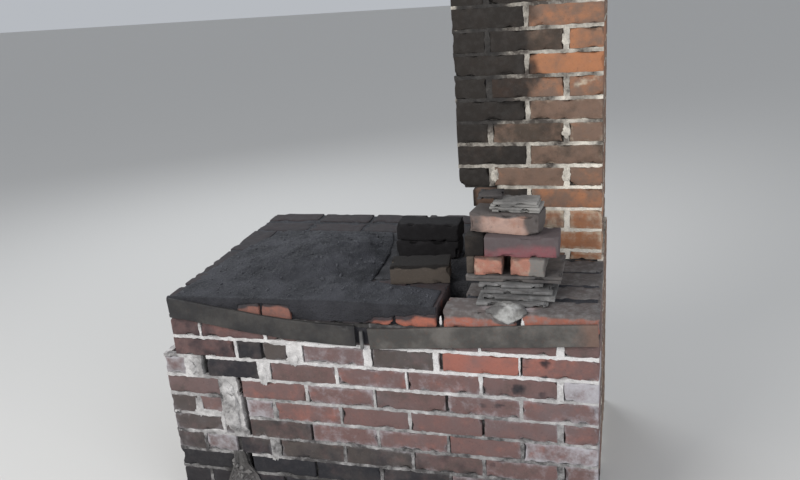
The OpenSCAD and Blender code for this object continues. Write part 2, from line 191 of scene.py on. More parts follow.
def newMaterial(name):
    material = bpy.data.materials.new(name)
    material.use_nodes = True
    tree = material.node_tree
    tree.nodes.clear()
    shader = addNode(tree, "BsdfPrincipled", {"Specular IOR Level": 0.25})
    addNode(tree, "OutputMaterial", {0: shader.outputs[0]})
    return material, tree, shader


def objectPlace(tree):
    return addNode(tree, "Mapping", {0: addNode(tree, "TexCoord", {}).outputs["Object"]}).outputs[0]


# the look attribute holds tone, soot, lime and how near a point is to the brick's rim
def readLook(tree):
    look = addNode(tree, "Attribute", {}, attribute_name="look")
    parts = addNode(tree, "SeparateColor", {0: look.outputs["Color"]}).outputs
    return parts[0], parts[1], parts[2], look.outputs["Alpha"]


def finishMaterial(tree, shader, colour, roughness, height, strength, depth):
    bump = addNode(tree, "Bump", {"Strength": strength, "Distance": depth, "Height": height})
    for name, value in (("Base Color", colour), ("Roughness", roughness), ("Normal", bump.outputs[0])):
        feed(tree, shader.inputs[name], value)


# colours are the dark, the middle and the bright clay, then the haze over it
def clayMaterial(name, colours, mottle=0.35, dusting=0.1, haze=0.4, soot=(0.024, 0.022, 0.022),
                 lime=(0.50, 0.485, 0.50), dust=(0.13, 0.125, 0.12)):
    material, tree, shader = newMaterial(name)
    place = objectPlace(tree)
    tone, sootAmount, limeAmount, rim = readLook(tree)
    fired = addNode(tree, "Group", node_tree=clayGroup, inputs={
        "Place": place, "Tone": tone, "Dark": colours[0], "Middle": colours[1], "Bright": colours[2],
        "Mottle": mottle, "Haze": haze, "Haze Colour": colours[3]})
    limed = addNode(tree, "Group", node_tree=limeGroup, inputs={
        "Place": place, "Colour": fired.outputs["Colour"], "Amount": limeAmount, "Rim": rim, "Lime": lime})
    sooted = addNode(tree, "Group", node_tree=sootGroup, inputs={
        "Place": place, "Colour": limed.outputs["Colour"], "Amount": sootAmount, "Soot": soot, "Dust": dust,
        "Dusting": dusting})
    finishMaterial(tree, shader, sooted.outputs["Colour"], 0.92, fired.outputs["Height"], 0.75, 0.0018)
    return material


def mortarMaterial(name, pale, dark, grain=1.0):
    material, tree, shader = newMaterial(name)
    place = objectPlace(tree)
    tone, sootAmount = readLook(tree)[:2]
    cloud = addNoise(tree, place, 42.0, 6.0, 0.65)
    sand = addNoise(tree, place, 420.0 * grain, 2.0, 0.6)
    base = addMix(tree, addMath(tree, "ADD", tone, addSway(tree, cloud, 1.5), True), dark, pale)
    sandy = addMix(tree, addRange(tree, sand, 0.35, 0.70, 0.25, 0.0), base, (0.13, 0.11, 0.10))
    sooted = addNode(tree, "Group", node_tree=sootGroup, inputs={
        "Place": place, "Colour": sandy, "Amount": sootAmount, "Soot": (0.03, 0.028, 0.027), "Dusting": 0.12})
    finishMaterial(tree, shader, sooted.outputs["Colour"], 0.95, addMath(tree, "ADD", sand, cloud), 0.8,
                   0.0018)
    return material


def dustMaterial(name, dark, pale, speck, speckAmount=0.2, roughness=0.95, glint=0.0):
    material, tree, shader = newMaterial(name)
    place = objectPlace(tree)
    cloud = addNoise(tree, place, 9.0, 6.0, 0.6)
    grit = addNoise(tree, place, 130.0, 4.0, 0.65)
    crumb = addGrain(tree, place, 210.0)
    base = addMix(tree, addRange(tree, cloud, 0.32, 0.70), dark, pale)
    gritted = addMix(tree, addRange(tree, grit, 0.50, 0.66, 0.0, 0.75), base, dark)
    specked = addMix(tree, addRange(tree, crumb, 0.17, 0.05, 0.0, speckAmount), gritted, speck)
    height = addMath(tree, "ADD", grit, addMath(tree, "MULTIPLY", crumb, 0.6))
    dull = addRange(tree, grit, 0.45, 0.6, roughness, roughness - glint)
    finishMaterial(tree, shader, specked, dull, height, 0.9, 0.003)
    return material


# ash: the look attribute's tone says how thick it lies
def ashMaterial(name, stained, dark, pale):
    material, tree, shader = newMaterial(name)
    place = objectPlace(tree)
    cloud = addNoise(tree, place, 30.0, 6.0, 0.62)
    grit = addNoise(tree, place, 210.0, 3.0, 0.6)
    ash = addMix(tree, addRange(tree, cloud, 0.35, 0.65), dark, pale)
    thick = addMath(tree, "ADD", readLook(tree)[0], addSway(tree, cloud, 1.2))
    laid = addMix(tree, addRange(tree, thick, 0.15, 0.85), stained, ash)
    finishMaterial(tree, shader, laid, 0.95, addMath(tree, "ADD", grit, cloud), 0.9, 0.003)
    return material


# iron and slate; rustSide is where along the piece it turns to rust
def ironMaterial(name, dark, dusty, rust, rustAmount=0.35, rustSide=0.0, metal=0.25):
    material, tree, shader = newMaterial(name)
    place = objectPlace(tree)
    cloud = addNoise(tree, place, 11.0, 6.0, 0.6)
    scale = addNoise(tree, place, 85.0, 5.0, 0.65)
    pits = addGrain(tree, place, 320.0)
    base = addMix(tree, addRange(tree, cloud, 0.35, 0.66), dark, dusty)
    colour = addMix(tree, addRange(tree, scale, 0.50, 0.70, 0.0, rustAmount), base, rust)
    if rustSide:
        along = addNode(tree, "SeparateXYZ", {0: place}).outputs[0]
        edge = addMath(tree, "ADD", along, addSway(tree, cloud, 0.12))
        rusting = addRange(tree, edge, rustSide - 0.07, rustSide - 0.015, 0.0, 0.8)
        colour = addMix(tree, rusting, colour, rust)
    feed(tree, shader.inputs["Metallic"], metal)
    height = addMath(tree, "ADD", scale, addMath(tree, "MULTIPLY", pits, 0.5))
    finishMaterial(tree, shader, colour, addRange(tree, scale, 0.35, 0.7, 0.58, 0.9), height, 0.6, 0.0014)
    return material


print("materials")
greyHaze = (0.150, 0.135, 0.142)
topColours = ((0.085, 0.060, 0.055), (0.240, 0.110, 0.085), (0.400, 0.130, 0.085), greyHaze)
frontClay = clayMaterial(
    "frontClay", ((0.082, 0.068, 0.062), (0.165, 0.100, 0.094), (0.330, 0.130, 0.100), greyHaze), mottle=0.36,
    soot=(0.020, 0.021, 0.026), lime=(0.44, 0.425, 0.450))
cornerClay = clayMaterial(
    "cornerClay", ((0.080, 0.066, 0.062), (0.155, 0.104, 0.100), (0.270, 0.130, 0.105),
                   greyHaze), mottle=0.36,
    soot=(0.022, 0.022, 0.025), lime=(0.40, 0.39, 0.41))
sideClay = clayMaterial(
    "sideClay", ((0.085, 0.062, 0.055), (0.170, 0.098, 0.082), (0.290, 0.125, 0.090), greyHaze))
topClay = clayMaterial(
    "topClay", topColours, dusting=0.4, haze=0.2, soot=(0.034, 0.034, 0.038), dust=(0.075, 0.075, 0.080))
ashyClay = clayMaterial(
    "ashyClay", topColours, dusting=0.6, haze=0.2, soot=(0.100, 0.096, 0.094), dust=(0.22, 0.215, 0.21))
chimneyClay = clayMaterial(
    "chimneyClay", ((0.070, 0.052, 0.040), (0.195, 0.125, 0.092), (0.400, 0.175, 0.088),
                    (0.150, 0.115, 0.090)),
    mottle=0.42, soot=(0.024, 0.021, 0.019), lime=(0.62, 0.55, 0.43))
# its soot colour is near black, which on the fire brick's top is partly painted shade
bakedClay = clayMaterial(
    "bakedClay", ((0.050, 0.040, 0.033), (0.085, 0.068, 0.055), (0.130, 0.100, 0.078), (0.075, 0.068, 0.062)),
    dusting=0.05, soot=(0.009, 0.008, 0.008), dust=(0.05, 0.048, 0.046))
blackClay = clayMaterial(
    "blackClay", ((0.022, 0.020, 0.020), (0.035, 0.030, 0.030), (0.075, 0.060, 0.056), (0.03, 0.03, 0.03)),
    dusting=0.12, soot=(0.011, 0.010, 0.011), dust=(0.05, 0.05, 0.052))
paleClay = clayMaterial(
    "paleClay", ((0.170, 0.105, 0.085), (0.350, 0.200, 0.150), (0.430, 0.290, 0.240), (0.24, 0.21, 0.19)),
    mottle=0.7, dusting=0.3, soot=(0.075, 0.070, 0.068), lime=(0.24, 0.235, 0.22), dust=(0.14, 0.13, 0.13))
pinkClay = clayMaterial(
    "pinkClay", ((0.160, 0.085, 0.065), (0.400, 0.180, 0.130), (0.440, 0.300, 0.230), (0.24, 0.17, 0.14)),
    mottle=0.8, dusting=0.2, soot=(0.055, 0.045, 0.042), lime=(0.19, 0.19, 0.178), dust=(0.14, 0.13, 0.13))
maroonClay = clayMaterial(
    "maroonClay", ((0.110, 0.070, 0.072), (0.200, 0.085, 0.092), (0.235, 0.088, 0.098), (0.16, 0.10, 0.105)),
    dusting=0.3, soot=(0.100, 0.085, 0.086), dust=(0.14, 0.13, 0.13))
frontMortar = mortarMaterial("frontMortar", (0.80, 0.78, 0.77), (0.070, 0.068, 0.070))
sideMortar = mortarMaterial("sideMortar", (0.48, 0.455, 0.43), (0.13, 0.12, 0.115))
# its pale colour is raised partly as painted light, for the joints low on the right that the pile shades
chimneyMortar = mortarMaterial("chimneyMortar", (0.98, 0.91, 0.79), (0.065, 0.055, 0.047))
rubbleMortar = mortarMaterial("rubbleMortar", (0.30, 0.295, 0.285), (0.11, 0.105, 0.105), 0.6)
coalDust = dustMaterial(
    "coalDust", (0.024, 0.025, 0.029), (0.055, 0.056, 0.065), (0.12, 0.12, 0.13), 0.22, 0.95, 0.3)
rimDust = dustMaterial(
    "rimDust", (0.018, 0.018, 0.021), (0.040, 0.040, 0.046), (0.10, 0.10, 0.11), 0.22, 0.95, 0.3)
coalLump = dustMaterial(
    "coalLump", (0.040, 0.041, 0.047), (0.085, 0.087, 0.098), (0.17, 0.17, 0.18), 0.2, 0.85, 0.3)
bedDust = dustMaterial("bedDust", (0.018, 0.018, 0.021), (0.060, 0.060, 0.065), (0.16, 0.15, 0.15), 0.3)
ashDust = ashMaterial("ashDust", (0.125, 0.120, 0.116), (0.21, 0.205, 0.195), (0.46, 0.455, 0.44))
barIron = ironMaterial(
    "barIron", (0.074, 0.070, 0.066), (0.155, 0.144, 0.132), (0.200, 0.125, 0.098), 0.2, rightEdge)
sootyIron = ironMaterial("sootyIron", (0.038, 0.037, 0.038), (0.072, 0.068, 0.064), (0.09, 0.064, 0.052),
                         0.15)
flatIron = ironMaterial("flatIron", (0.120, 0.117, 0.115), (0.270, 0.265, 0.26), (0.150, 0.118, 0.102), 0.2)
slateStone = ironMaterial(
    "slateStone", (0.140, 0.135, 0.130), (0.300, 0.290, 0.275), (0.17, 0.14, 0.12), 0.2, metal=0.0)
darkStone = ironMaterial(
    "darkStone", (0.034, 0.031, 0.032), (0.070, 0.063, 0.061), (0.075, 0.063, 0.056), 0.3, metal=0.0)
plateStone = ironMaterial(
    "plateStone", (0.064, 0.060, 0.060), (0.140, 0.126, 0.118), (0.14, 0.115, 0.10), 0.3, metal=0.0)


# pieces

def newPiece(name, bm, material, replaced=(), sharp=44):
    mesh = bpy.data.meshes.new(name)
    for face in bm.faces:
        face.smooth = True
    for vert in bm.verts:
        vert.co.z = clamp(vert.co.z, 0.0, chimneyTop)
    bm.to_mesh(mesh)
    bm.free()
    mesh.set_sharp_from_angle(angle=math.radians(sharp))
    mesh.materials.append(material)
    piece = bpy.data.objects.new(name, mesh)
    scene.collection.objects.link(piece)
    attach(piece, "root")
    if replaced:
        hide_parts(*replaced)
    print("piece", name, len(mesh.polygons))


def newMesh():
    bm = bmesh.new()
    bm.verts.layers.float_color.new("look")
    return bm


def paintLook(bm, lookAt):
    layer = bm.verts.layers.float_color["look"]
    for vert in bm.verts:
        vert[layer] = lookAt(vert.co)


blockMeshes = {}


# a block whose rims are worn round, made once for each size and kept
def blockMesh(size, cell, wear):
    key = (tuple(round(s, 4) for s in size), round(cell, 4), round(wear, 4))
    if key in blockMeshes:
        return blockMeshes[key]
    bm = bmesh.new()
    bmesh.ops.create_cube(bm, size=1.0)
    bmesh.ops.scale(bm, vec=Vector(size), verts=bm.verts)
    bmesh.ops.bevel(bm, geom=bm.edges[:], offset=wear, segments=2, profile=0.5, affect="EDGES", material=-1)
    for axis in range(3):
        cuts = round(size[axis] / cell) - 1
        if cuts < 1:
            continue
        long = [e for e in bm.edges if abs(e.verts[0].co[axis] - e.verts[1].co[axis]) > size[axis] * 0.6]
        bmesh.ops.subdivide_edges(bm, edges=long, cuts=cuts, use_grid_fill=True)
    mesh = bpy.data.meshes.new("block")
    bm.to_mesh(mesh)
    bm.free()
    blockMeshes[key] = mesh
    return mesh


# adds a weathered block to bm; look is its tone, soot and lime, and soot changes the last two from place
# to place
def addBlock(bm, low, high, look, rough, seed, cell, wear=0.003, turn=None, soot=None):
    low, high = Vector(low), Vector(high)
    size = high - low
    half = size / 2
    centre = (low + high) / 2
    layer = bm.verts.layers.float_color["look"]
    start = len(bm.verts)
    bm.from_mesh(blockMesh(size, cell, min(wear, min(size) * 0.3)))
    bm.verts.ensure_lookup_table()
    reach = 0.014  # how far from an edge its rim begins
    for vert in bm.verts[start:]:
        place = vert.co.copy()
        near = [clamp((abs(place[a]) - half[a] + reach) / reach) for a in range(3)]
        rim = sorted(near)[1]
        world = place + centre
        swell = Vector([lumps(world, 11, seed + k) for k in (0, 5, 9)])
        chip = max(0.0, lumps(world, 34, seed + 2) - 0.12) * rim * rim
        inward = Vector([-math.copysign(near[a], place[a]) for a in range(3)])
        place += swell * rough["swell"] + inward * (chip * rough["chip"])
        for a in range(3):
            place[a] = clamp(place[a], -half[a], half[a])
        if turn:
            place = turn @ place
        vert.co = place + centre
        tone, dark, pale = look
        if soot:
            dark, pale = soot(vert.co, dark, pale)
        vert[layer] = (tone + 0.10 * lumps(world, 6, seed), dark, pale, clamp(rim + chip * 2))


# a strip of mortar between two bricks, wavering in width and standing nearer or further back
def addJoint(bm, low, high, seed, along, face, paint, spread=0.0024, cell=0.007):
    low, high = Vector(low), Vector(high)
    size = high - low
    centre = (low + high) / 2
    layer = bm.verts.layers.float_color["look"]
    start = len(bm.verts)
    made = bmesh.ops.create_cube(bm, size=1.0)["verts"]
    bmesh.ops.scale(bm, vec=size, verts=made)
    across = 3 - along - face
    for axis, cuts in ((along, max(1, round(size[along] / cell) - 1)), (across, 2)):
        bm.verts.ensure_lookup_table()
        long = {e for v in bm.verts[start:] for e in v.link_edges
                if abs(e.verts[0].co[axis] - e.verts[1].co[axis]) > size[axis] * 0.6}
        bmesh.ops.subdivide_edges(bm, edges=list(long), cuts=cuts, use_grid_fill=True)
    bm.verts.ensure_lookup_table()
    for vert in bm.verts[start:]:
        world = vert.co + centre
        side = vert.co[across] / max(size[across] / 2, 1e-6)
        smear = -0.1 + 1.3 * lumps(world, 50, seed) + 0.7 * lumps(world, 150, seed)
        world[across] += side * spread * smear
        world[face] += 0.0014 * lumps(world, 85, seed + 3)
        vert.co = world
        tone, dark = paint(world)
        vert[layer] = (clamp(tone + 0.25 * lumps(world, 18, seed + 7)), dark, 0.0, 0.0)


# a lump of mortar squeezed out of a joint, given by its middle and its three half sizes
def addBlob(bm, centre, halves, paint, seed):
    layer = bm.verts.layers.float_color["look"]
    for vert in bmesh.ops.create_icosphere(bm, subdivisions=3, radius=1.0)["verts"]:
        shape = vert.co * (1 + 0.55 * lumps(vert.co, 1.9, seed) + 0.30 * lumps(vert.co, 5.0, seed + 3))
        vert.co = Vector(centre) + shape * Vector(halves)
        tone, dark = paint(vert.co)
        vert[layer] = (clamp(tone + 0.2 * lumps(vert.co, 30, seed)), dark, 0.0, 0.0)


rng = random.Random(41)


def newSeed():
    return rng.uniform(0, 90)


# how weathered the bricks are: swell bends their faces, chip breaks their rims
wallWear = {"swell": 0.0016, "chip": 0.024}
looseWear = {"swell": 0.0028, "chip": 0.034}
faceInset = 0.0014
jointInset = 0.0026
jointDepth = 0.02
bedTop = brick["joint"] + 0.0005
coreInset = 0.014
growth = 0.0016


# rows of a course along a straight wall: [start, end] of each brick, from the right or front end
def stretcherRow(length, first=0.0):
    row = []
    at = first
    while at < length - 0.03:
        end = min(at + brick["length"], length)
        row.append((at, end))
        at = end + brick["joint"]
    return row


def courseLevel(course):
    top = hearthTop - course * coursePitch
    return top - brick["height"], top


print("front")
# how the bricks look, as (tone, soot, lime); each brick varies a little about its kind
kinds = {
    "orange": (0.90, 0.0, 0.04), "rust": (0.74, 0.05, 0.08), "red": (0.62, 0.02, 0.10), "scorched": (0.50, 0.50, 0.04),
    "rosy": (0.56, 0.0, 0.24), "common": (0.48, 0.04, 0.10), "brown": (0.34, 0.14, 0.08), "dull": (0.22, 0.34, 0.06),
    "grey": (0.05, 0.24, 0.18), "smoked": (0.08, 0.40, 0.10), "dusky": (0.10, 0.62, 0.08), "hazy": (0.44, 0.0, 0.32),
    "limed": (0.50, 0.0, 0.52), "sooty": (0.08, 0.74, 0.04), "black": (0.05, 0.94, 0.0), "white": (0.52, 0.0, 0.72),
    "warm": (0.70, 0.0, 0.0), "flushed": (1.0, 0.0, 0.32), "milky": (0.64, 0.0, 0.38),
    # the kind below is orange clay, paled and brightened as painted light for low bricks that the pile shades
    "orangeWithPaintedLight": (1.0, 0.0, 0.36),
}
# bricks of the front that aren't common, by course from the top and place from the right end
frontKinds = {
    "orange": [(2, 1)], "red": [(4, 4), (6, 1)], "scorched": [(1, 5), (1, 6), (2, 6)],
    "rosy": [(3, 3), (4, 0), (4, 1), (4, 3), (5, 4), (6, 2), (6, 3)], "rust": [(2, 0)], "brown": [(3, 4), (4, 2), (1, 4), (1, 0), (7, 1)],
    "white": [(3, 0)], "dull": [(7, 2)],
    "grey": [(2, 2), (2, 4)], "smoked": [(6, 4), (7, 3), (7, 4), (1, 3)], "dusky": [(2, 5), (3, 5), (7, 5), (8, 2)],
    "hazy": [(2, 3), (3, 2), (7, 0), (8, 0), (8, 1)], "limed": [(5, 5)], "milky": [(6, 0)],
    "sooty": [(8, 3), (8, 4), (8, 5)],
}
cornerKinds = {"limed": [(3, 0)], "brown": [(4, 0)], "rosy": [(5, 0)], "grey": [(6, 0), (5, 1)],
               "hazy": [(7, 0)], "smoked": [(7, 1)], "sooty": [(8, 0)]}


def pickLook(table, place, plain="common", spread=0.08):
    kind = next((k for k, places in table.items() if place in places), plain)
    tone, dark, pale = kinds[kind]
    return tone + rng.uniform(-spread, spread), clamp(dark + rng.uniform(-0.03, 0.06)), clamp(pale + rng.uniform(-0.04, 0.06))


# brick ends that stop short, and joints that stand open on their right side or right across
shortEnds = {(3, 5): 0.035, (7, 5): 0.027, (2, 3): 0.018, (2, 2): 0.027}
darkSlots = {(2, 1): 0.006, (2, 2): 0.010, (2, 3): 0.004, (2, 4): 0.004, (3, 3): 0.003, (3, 5): 0.0035,
             (5, 5): 0.003, (7, 5): 0.004,
             (4, 4): 0.0, (6, 2): 0.002, (8, 1): 0.004, (4, 3): 0.002}
openJoints = [(2, 5), (4, 2), (5, 2), (6, 4), (8, 4), (9, 3), (9, 5)]
sootSpots = [(0.5145, 0.150, 0.017), (0.5120, 0.189, 0.012), (0.4385, 0.232, 0.023), (0.5045, 0.248, 0.020),
             (0.4880, 0.252, 0.014),
             (0.3435, 0.290, 0.015), (0.3915, 0.288, 0.017), (0.3655, 0.489, 0.018), (0.4560, 0.165, 0.010)]
# the gap between the ends of the two bars is painted black as shade
barGap = (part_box("edge_bar_left")[1].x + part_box("edge_bar_right")[0].x) / 2
gapHalf = (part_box("edge_bar_right")[0].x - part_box("edge_bar_left")[1].x) / 2


# soot spots, grime and painted shade on the bricks of the front
def frontSootAndShade(place, dark, pale):
    down = hearthTop - place.z
    blur = 0.010 * lumps(place, 60, 1.0)
    for x, spotDown, radius in sootSpots:
        away = math.hypot((place.x - x) * 0.8, down - spotDown) + blur
        dark = max(dark, 0.72 * (1 - smooth(away, radius * 0.25, radius * 1.35)))
    # painted shade: the gap between the bar ends is painted black
    shadeInBarGap = (1 - smooth(abs(place.x - barGap), gapHalf, gapHalf + 0.006)) * smooth(down, 0.050, 0.058) * (1 - smooth(down, 0.116, 0.126))
    dark = max(dark, 1.15 * shadeInBarGap)
    # darker towards the bottom: partly grime, partly painted shade
    grimeAndShade = 0.12 * smooth(down, 0.34, 0.48) + 0.70 * smooth(down, 0.48, 0.62) + 0.20 * lumps(place, 7, 2.0) * smooth(down, 0.3, 0.5)
    pale = pale + 0.16 * smooth(place.x, rightEdge - 0.05, rightEdge) * smooth(down, 0.14, 0.2)
    pale += 0.10 * smooth(down, 0.38, 0.46) + 0.22 * lumps(place, 10, 8.0) * smooth(down, 0.12, 0.3)
    return max(dark, clamp(grimeAndShade)), clamp(pale)


def frontPaint(place):
    down = hearthTop - place.z
    # the mortar is paler near the top and darker towards the bottom, partly grime and partly painted shade
    tone = 1.02 - 2.9 * min(max(0.0, down - 0.13), 0.2) - 1.3 * max(0.0, down - 0.33)
    tone += 0.12 * smooth(down, 0.34, 0.44) * smooth(place.x, -0.2, -0.4)
    tone += 0.16 * smooth(place.x, rightEdge - 0.16, rightEdge - 0.02) * smooth(down, 0.2, 0.3)
    tone -= 0.10 * smooth(place.x, 0.10, 0.35) * smooth(down, 0.22, 0.28)
    tone += (0.10 + 0.16 * smooth(down, 0.2, 0.35)) * lumps(place, 5.5, 6.0)
    tone -= 0.36 * (1 - smooth(place.x, -0.16, 0.10)) * (1 - smooth(down, 0.085, 0.11))
    tone -= 0.30 * (1 - smooth(place.x, -0.28, -0.14)) * (1 - smooth(down, 0.16, 0.21))
    dark = frontSootAndShade(place, 0.0, 0.0)[0]
    # painted shade: the mortar in the band behind the bars is painted dark
    if 0.045 < down < 0.088:
        return 0.04, max(0.5, dark)
    return clamp(tone, 0.05), dark * 0.7 + (0.3 if dark > 1.0 else 0.0)


def cornerPaint(place):
    down = hearthTop - place.z
    # darker towards the bottom, partly grime and partly painted shade
    tone = 0.50 - 0.36 * smooth(down, 0.40, 0.54) + 0.6 * lumps(place, 13, 4.0)
    return tone, 0.5 * smooth(down, 0.46, 0.62)


def frontRow(course):
    if course % 2 == 0:
        row = stretcherRow(rightEdge - leftEdge)
        if course == 2:
            row[1] = (row[1][0], row[1][1] + 0.009)
            row[4:5] = [(0.8965, 0.9715), (0.9815, 1.055)]
        return row
    row = [(0.0, brick["width"])]
    row += [(headerStart + i * moduleLength, headerStart + i * moduleLength + brick["length"]) for i in range(5)]
    row.append((rightEdge - leftEdge - brick["width"], rightEdge - leftEdge))
    return row


cornerShift = frontLow.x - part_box("cracked_corner")[0].x
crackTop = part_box("cracked_corner")[1]
frontBricks, frontJoints = newMesh(), newMesh()
cornerBricks, cornerJoints = newMesh(), newMesh()
crackFrom = 3
crackWidth = 0.018
# the crack wavers from course to course
crackWave = {3: 0.0, 4: 0.004, 5: -0.003, 6: -0.006, 7: 0.036, 8: 0.005, 9: 0.002, 10: 0.0}
# the last brick of the corner is short in these courses, where mortar has filled the crack
cornerShort = {4: 0.027, 5: 0.027, 3: 0.022}


# splits a row at the crack: bricks of the wall, then those of the broken corner, already moved out
def splitAtCrack(course, row):
    if course < crackFrom:
        return row, []
    moved = [(a + cornerShift, b + cornerShift) for a, b in row[-1:]]
    if course % 2 == 0 or course == crackFrom:
        wall = row[:-1]
    else:
        start, end = row[-2]
        crackAt = 5 * moduleLength - brick["joint"]
        wall = row[:-2] + [(start, crackAt)]
        moved = [(crackAt + cornerShift + 0.010, moved[0][0] - brick["joint"])] + moved
    a, b = wall[-1]
    wall[-1] = (a, b + crackWave[course])
    a, b = moved[0]
    moved[0] = (a + cornerShort.get(course, 0.0), b)
    return wall, moved


def layFront(bricks, joints, course, row, isCorner):
    z0, z1 = courseLevel(course)
    z0 = max(z0, brick["joint"])
    table = cornerKinds if isCorner else frontKinds
    paint = cornerPaint if isCorner else frontPaint
    for index, (a, b) in enumerate(row):
        place = (course, index)
        look = pickLook(table, place, "brown" if isCorner or course > 7 else "common")
        short = 0.0 if isCorner else shortEnds.get(place, 0.0)
        depth = brick["length"] if b - a < 0.0935 and index in (0, len(row) - 1) else brick["width"]
        inset = faceInset + rng.uniform(0.0, 0.0024)
        grow = growth * rng.uniform(0.2, 1.3) + 0.0007 * smooth(course, 2, 4)
        addBlock(bricks, (rightEdge - b, frontFace + inset, z0 - grow),
                 (rightEdge - a - short + (grow if a > 0.01 else 0), frontFace + depth, z1 + grow),
                 look, wallWear, newSeed(), cell=0.0105, soot=frontSootAndShade)
        if index + 1 < len(row):
            start, end = b, row[index + 1][0]
            nextPlace = (course, index + 1)
            if not isCorner:
                end += shortEnds.get(nextPlace, 0.0)
                start += darkSlots.get(nextPlace, 0.0)
                if nextPlace in openJoints:
                    continue
            if end - start > 0.002:
                addJoint(joints, (rightEdge - end, frontFace + jointInset, z0 - 0.001),
                         (rightEdge - start, frontFace + jointDepth, z1 + 0.001), newSeed(), 2, 1, paint)


def layBed(joints, a, b, z, paint, spread=0.0026):
    addJoint(joints, (rightEdge - b, frontFace + jointInset, z - 0.0005),
             (rightEdge - a, frontFace + jointDepth, z + bedTop),
             newSeed(), 0, 1, paint, spread)


for course in range(1, 11):
    wallRow, cornerRow = splitAtCrack(course, frontRow(course))
    layFront(frontBricks, frontJoints, course, wallRow, False)
    z0, z1 = courseLevel(course)
    wallEnd = wallRow[-1][1]
    layBed(frontJoints, 0.0, wallEnd, z1, frontPaint)
    if cornerRow:
        layFront(cornerBricks, cornerJoints, course, cornerRow, True)
        crackEdge = wallEnd + crackWidth
        if cornerRow[0][0] > crackEdge + 0.001:
            addJoint(cornerJoints, (rightEdge - cornerRow[0][0] - 0.002, frontFace + 0.002,
                                    max(0, z0 - 0.010)),
                     (rightEdge - crackEdge, frontFace + 0.05,
                      z1 + 0.001), newSeed(), 2, 1, cornerPaint, 0.004)
        layBed(cornerJoints, crackEdge, cornerRow[-1][1], z1, cornerPaint)
layBed(frontJoints, 0.0, 5 * moduleLength - 0.010, 0.0, frontPaint, 0.0)
layBed(cornerJoints, 5 * moduleLength + 0.010, wallWidth + cornerShift, 0.0, cornerPaint, 0.0)


# mass of mortar behind the faces, set back and painted dark as the shade inside open joints, so that they read as gaps
def addCore(bm, low, high, seed):
    addBlock(bm, low, high, (0.0, 0.55, 0.0), {"swell": 0.002, "chip": 0.0}, seed, cell=0.05)


addCore(frontJoints, (rightEdge - 5 * moduleLength + 0.016, frontFace + coreInset, 0.0),
        (rightEdge - coreInset, frontFace + wallDepth, frontHigh.z - 3 * coursePitch), 1.0)
addCore(frontJoints, (leftEdge + coreInset, frontFace + coreInset, frontHigh.z - 2 * coursePitch - 0.01),
        (rightEdge - coreInset, frontFace + wallDepth, frontHigh.z), 2.0)
addCore(cornerJoints, (leftEdge - cornerShift + coreInset, frontFace + coreInset, 0.0),
        (rightEdge - 5 * moduleLength - 0.012, frontFace + wallDepth - 0.002, crackTop.z - coursePitch), 3.0)
# mortar that has been squeezed out over the bricks: x, depth below the hearth, half width, half height,
# how far out
limeBlobs = [
    (-0.222, 0.184, 0.017, 0.022, 0.003), (-0.326, 0.246, 0.015, 0.028, 0.003),
    (-0.300, 0.374, 0.009, 0.028, 0.003), (-0.320, 0.522, 0.013, 0.024, 0.003), (-0.411, 0.449, 0.012, 0.018, 0.003),
    (0.4585, 0.032, 0.005, 0.014, 0.003), (0.2335, 0.040, 0.003, 0.018, 0.003), (0.455, 0.098, 0.030, 0.005, 0.002),
    (0.150, 0.130, 0.040, 0.006, 0.002), (0.060, 0.128, 0.030, 0.006, 0.002), (0.315, 0.131, 0.034, 0.006, 0.002),
    (-0.13, 0.131, 0.050, 0.008, 0.002), (-0.25, 0.132, 0.040, 0.008, 0.002),
]
cornerBlobs = [
    (-0.455, 0.306, 0.022, 0.030, 0.008), (-0.449, 0.352, 0.026, 0.044, 0.012), (-0.452, 0.402, 0.026, 0.040, 0.012),
    (-0.566, 0.236, 0.016, 0.026, 0.006), (-0.484, 0.424, 0.008, 0.034, 0.003),
    (-0.530, 0.392, 0.050, 0.012, 0.002), (-0.560, 0.372, 0.012, 0.034, 0.002), (-0.520, 0.458, 0.040, 0.008, 0.002),
]
for blobs, mesh, paint in ((limeBlobs, frontJoints, frontPaint), (cornerBlobs, cornerJoints, cornerPaint)):
    for x, down, halfWide, halfHigh, out in blobs:
        addBlob(mesh, (x, frontFace + 0.003, hearthTop - down), (halfWide, out, halfHigh), paint,
                rng.uniform(0, 50))
newPiece("frontBricks", frontBricks, frontClay, ["front_wall"])
newPiece("frontMortar", frontJoints, frontMortar)

print("sides")


# lays one course of a straight run of bricks; toBox turns (along, out, z) into two corners
def layRun(bricks, joints, row, z0, z1, toBox, axis, looks, wear, sootOf, paint, depth, face, cell=0.02,
           bedEnds=None, bedRise=None):
    for index, (a, b) in enumerate(row):
        inset = faceInset + rng.uniform(0.0, 0.002)
        grow = growth * rng.uniform(0.2, 1.4)
        low, high = toBox(a, b, inset, depth[index] if isinstance(depth, list) else depth, z0 - grow,
                          z1 + grow)
        addBlock(bricks, low, high, looks[index], wear, newSeed(), cell=cell, soot=sootOf)
        if index + 1 < len(row) and row[index + 1][0] - b > 0.003:
            low, high = toBox(b, row[index + 1][0], jointInset, jointDepth, z0 - 0.001, z1 + 0.001)
            addJoint(joints, low, high, newSeed(), 2, face, paint)
    first, last = bedEnds or (row[0][0], row[-1][1])
    low, high = toBox(first, last, jointInset, jointDepth, z1 - 0.0005,
                      z1 + (bedRise if bedRise is not None else brick["joint"]) + 0.0005)
    addJoint(joints, low, high, newSeed(), axis, face, paint, cell=0.010)


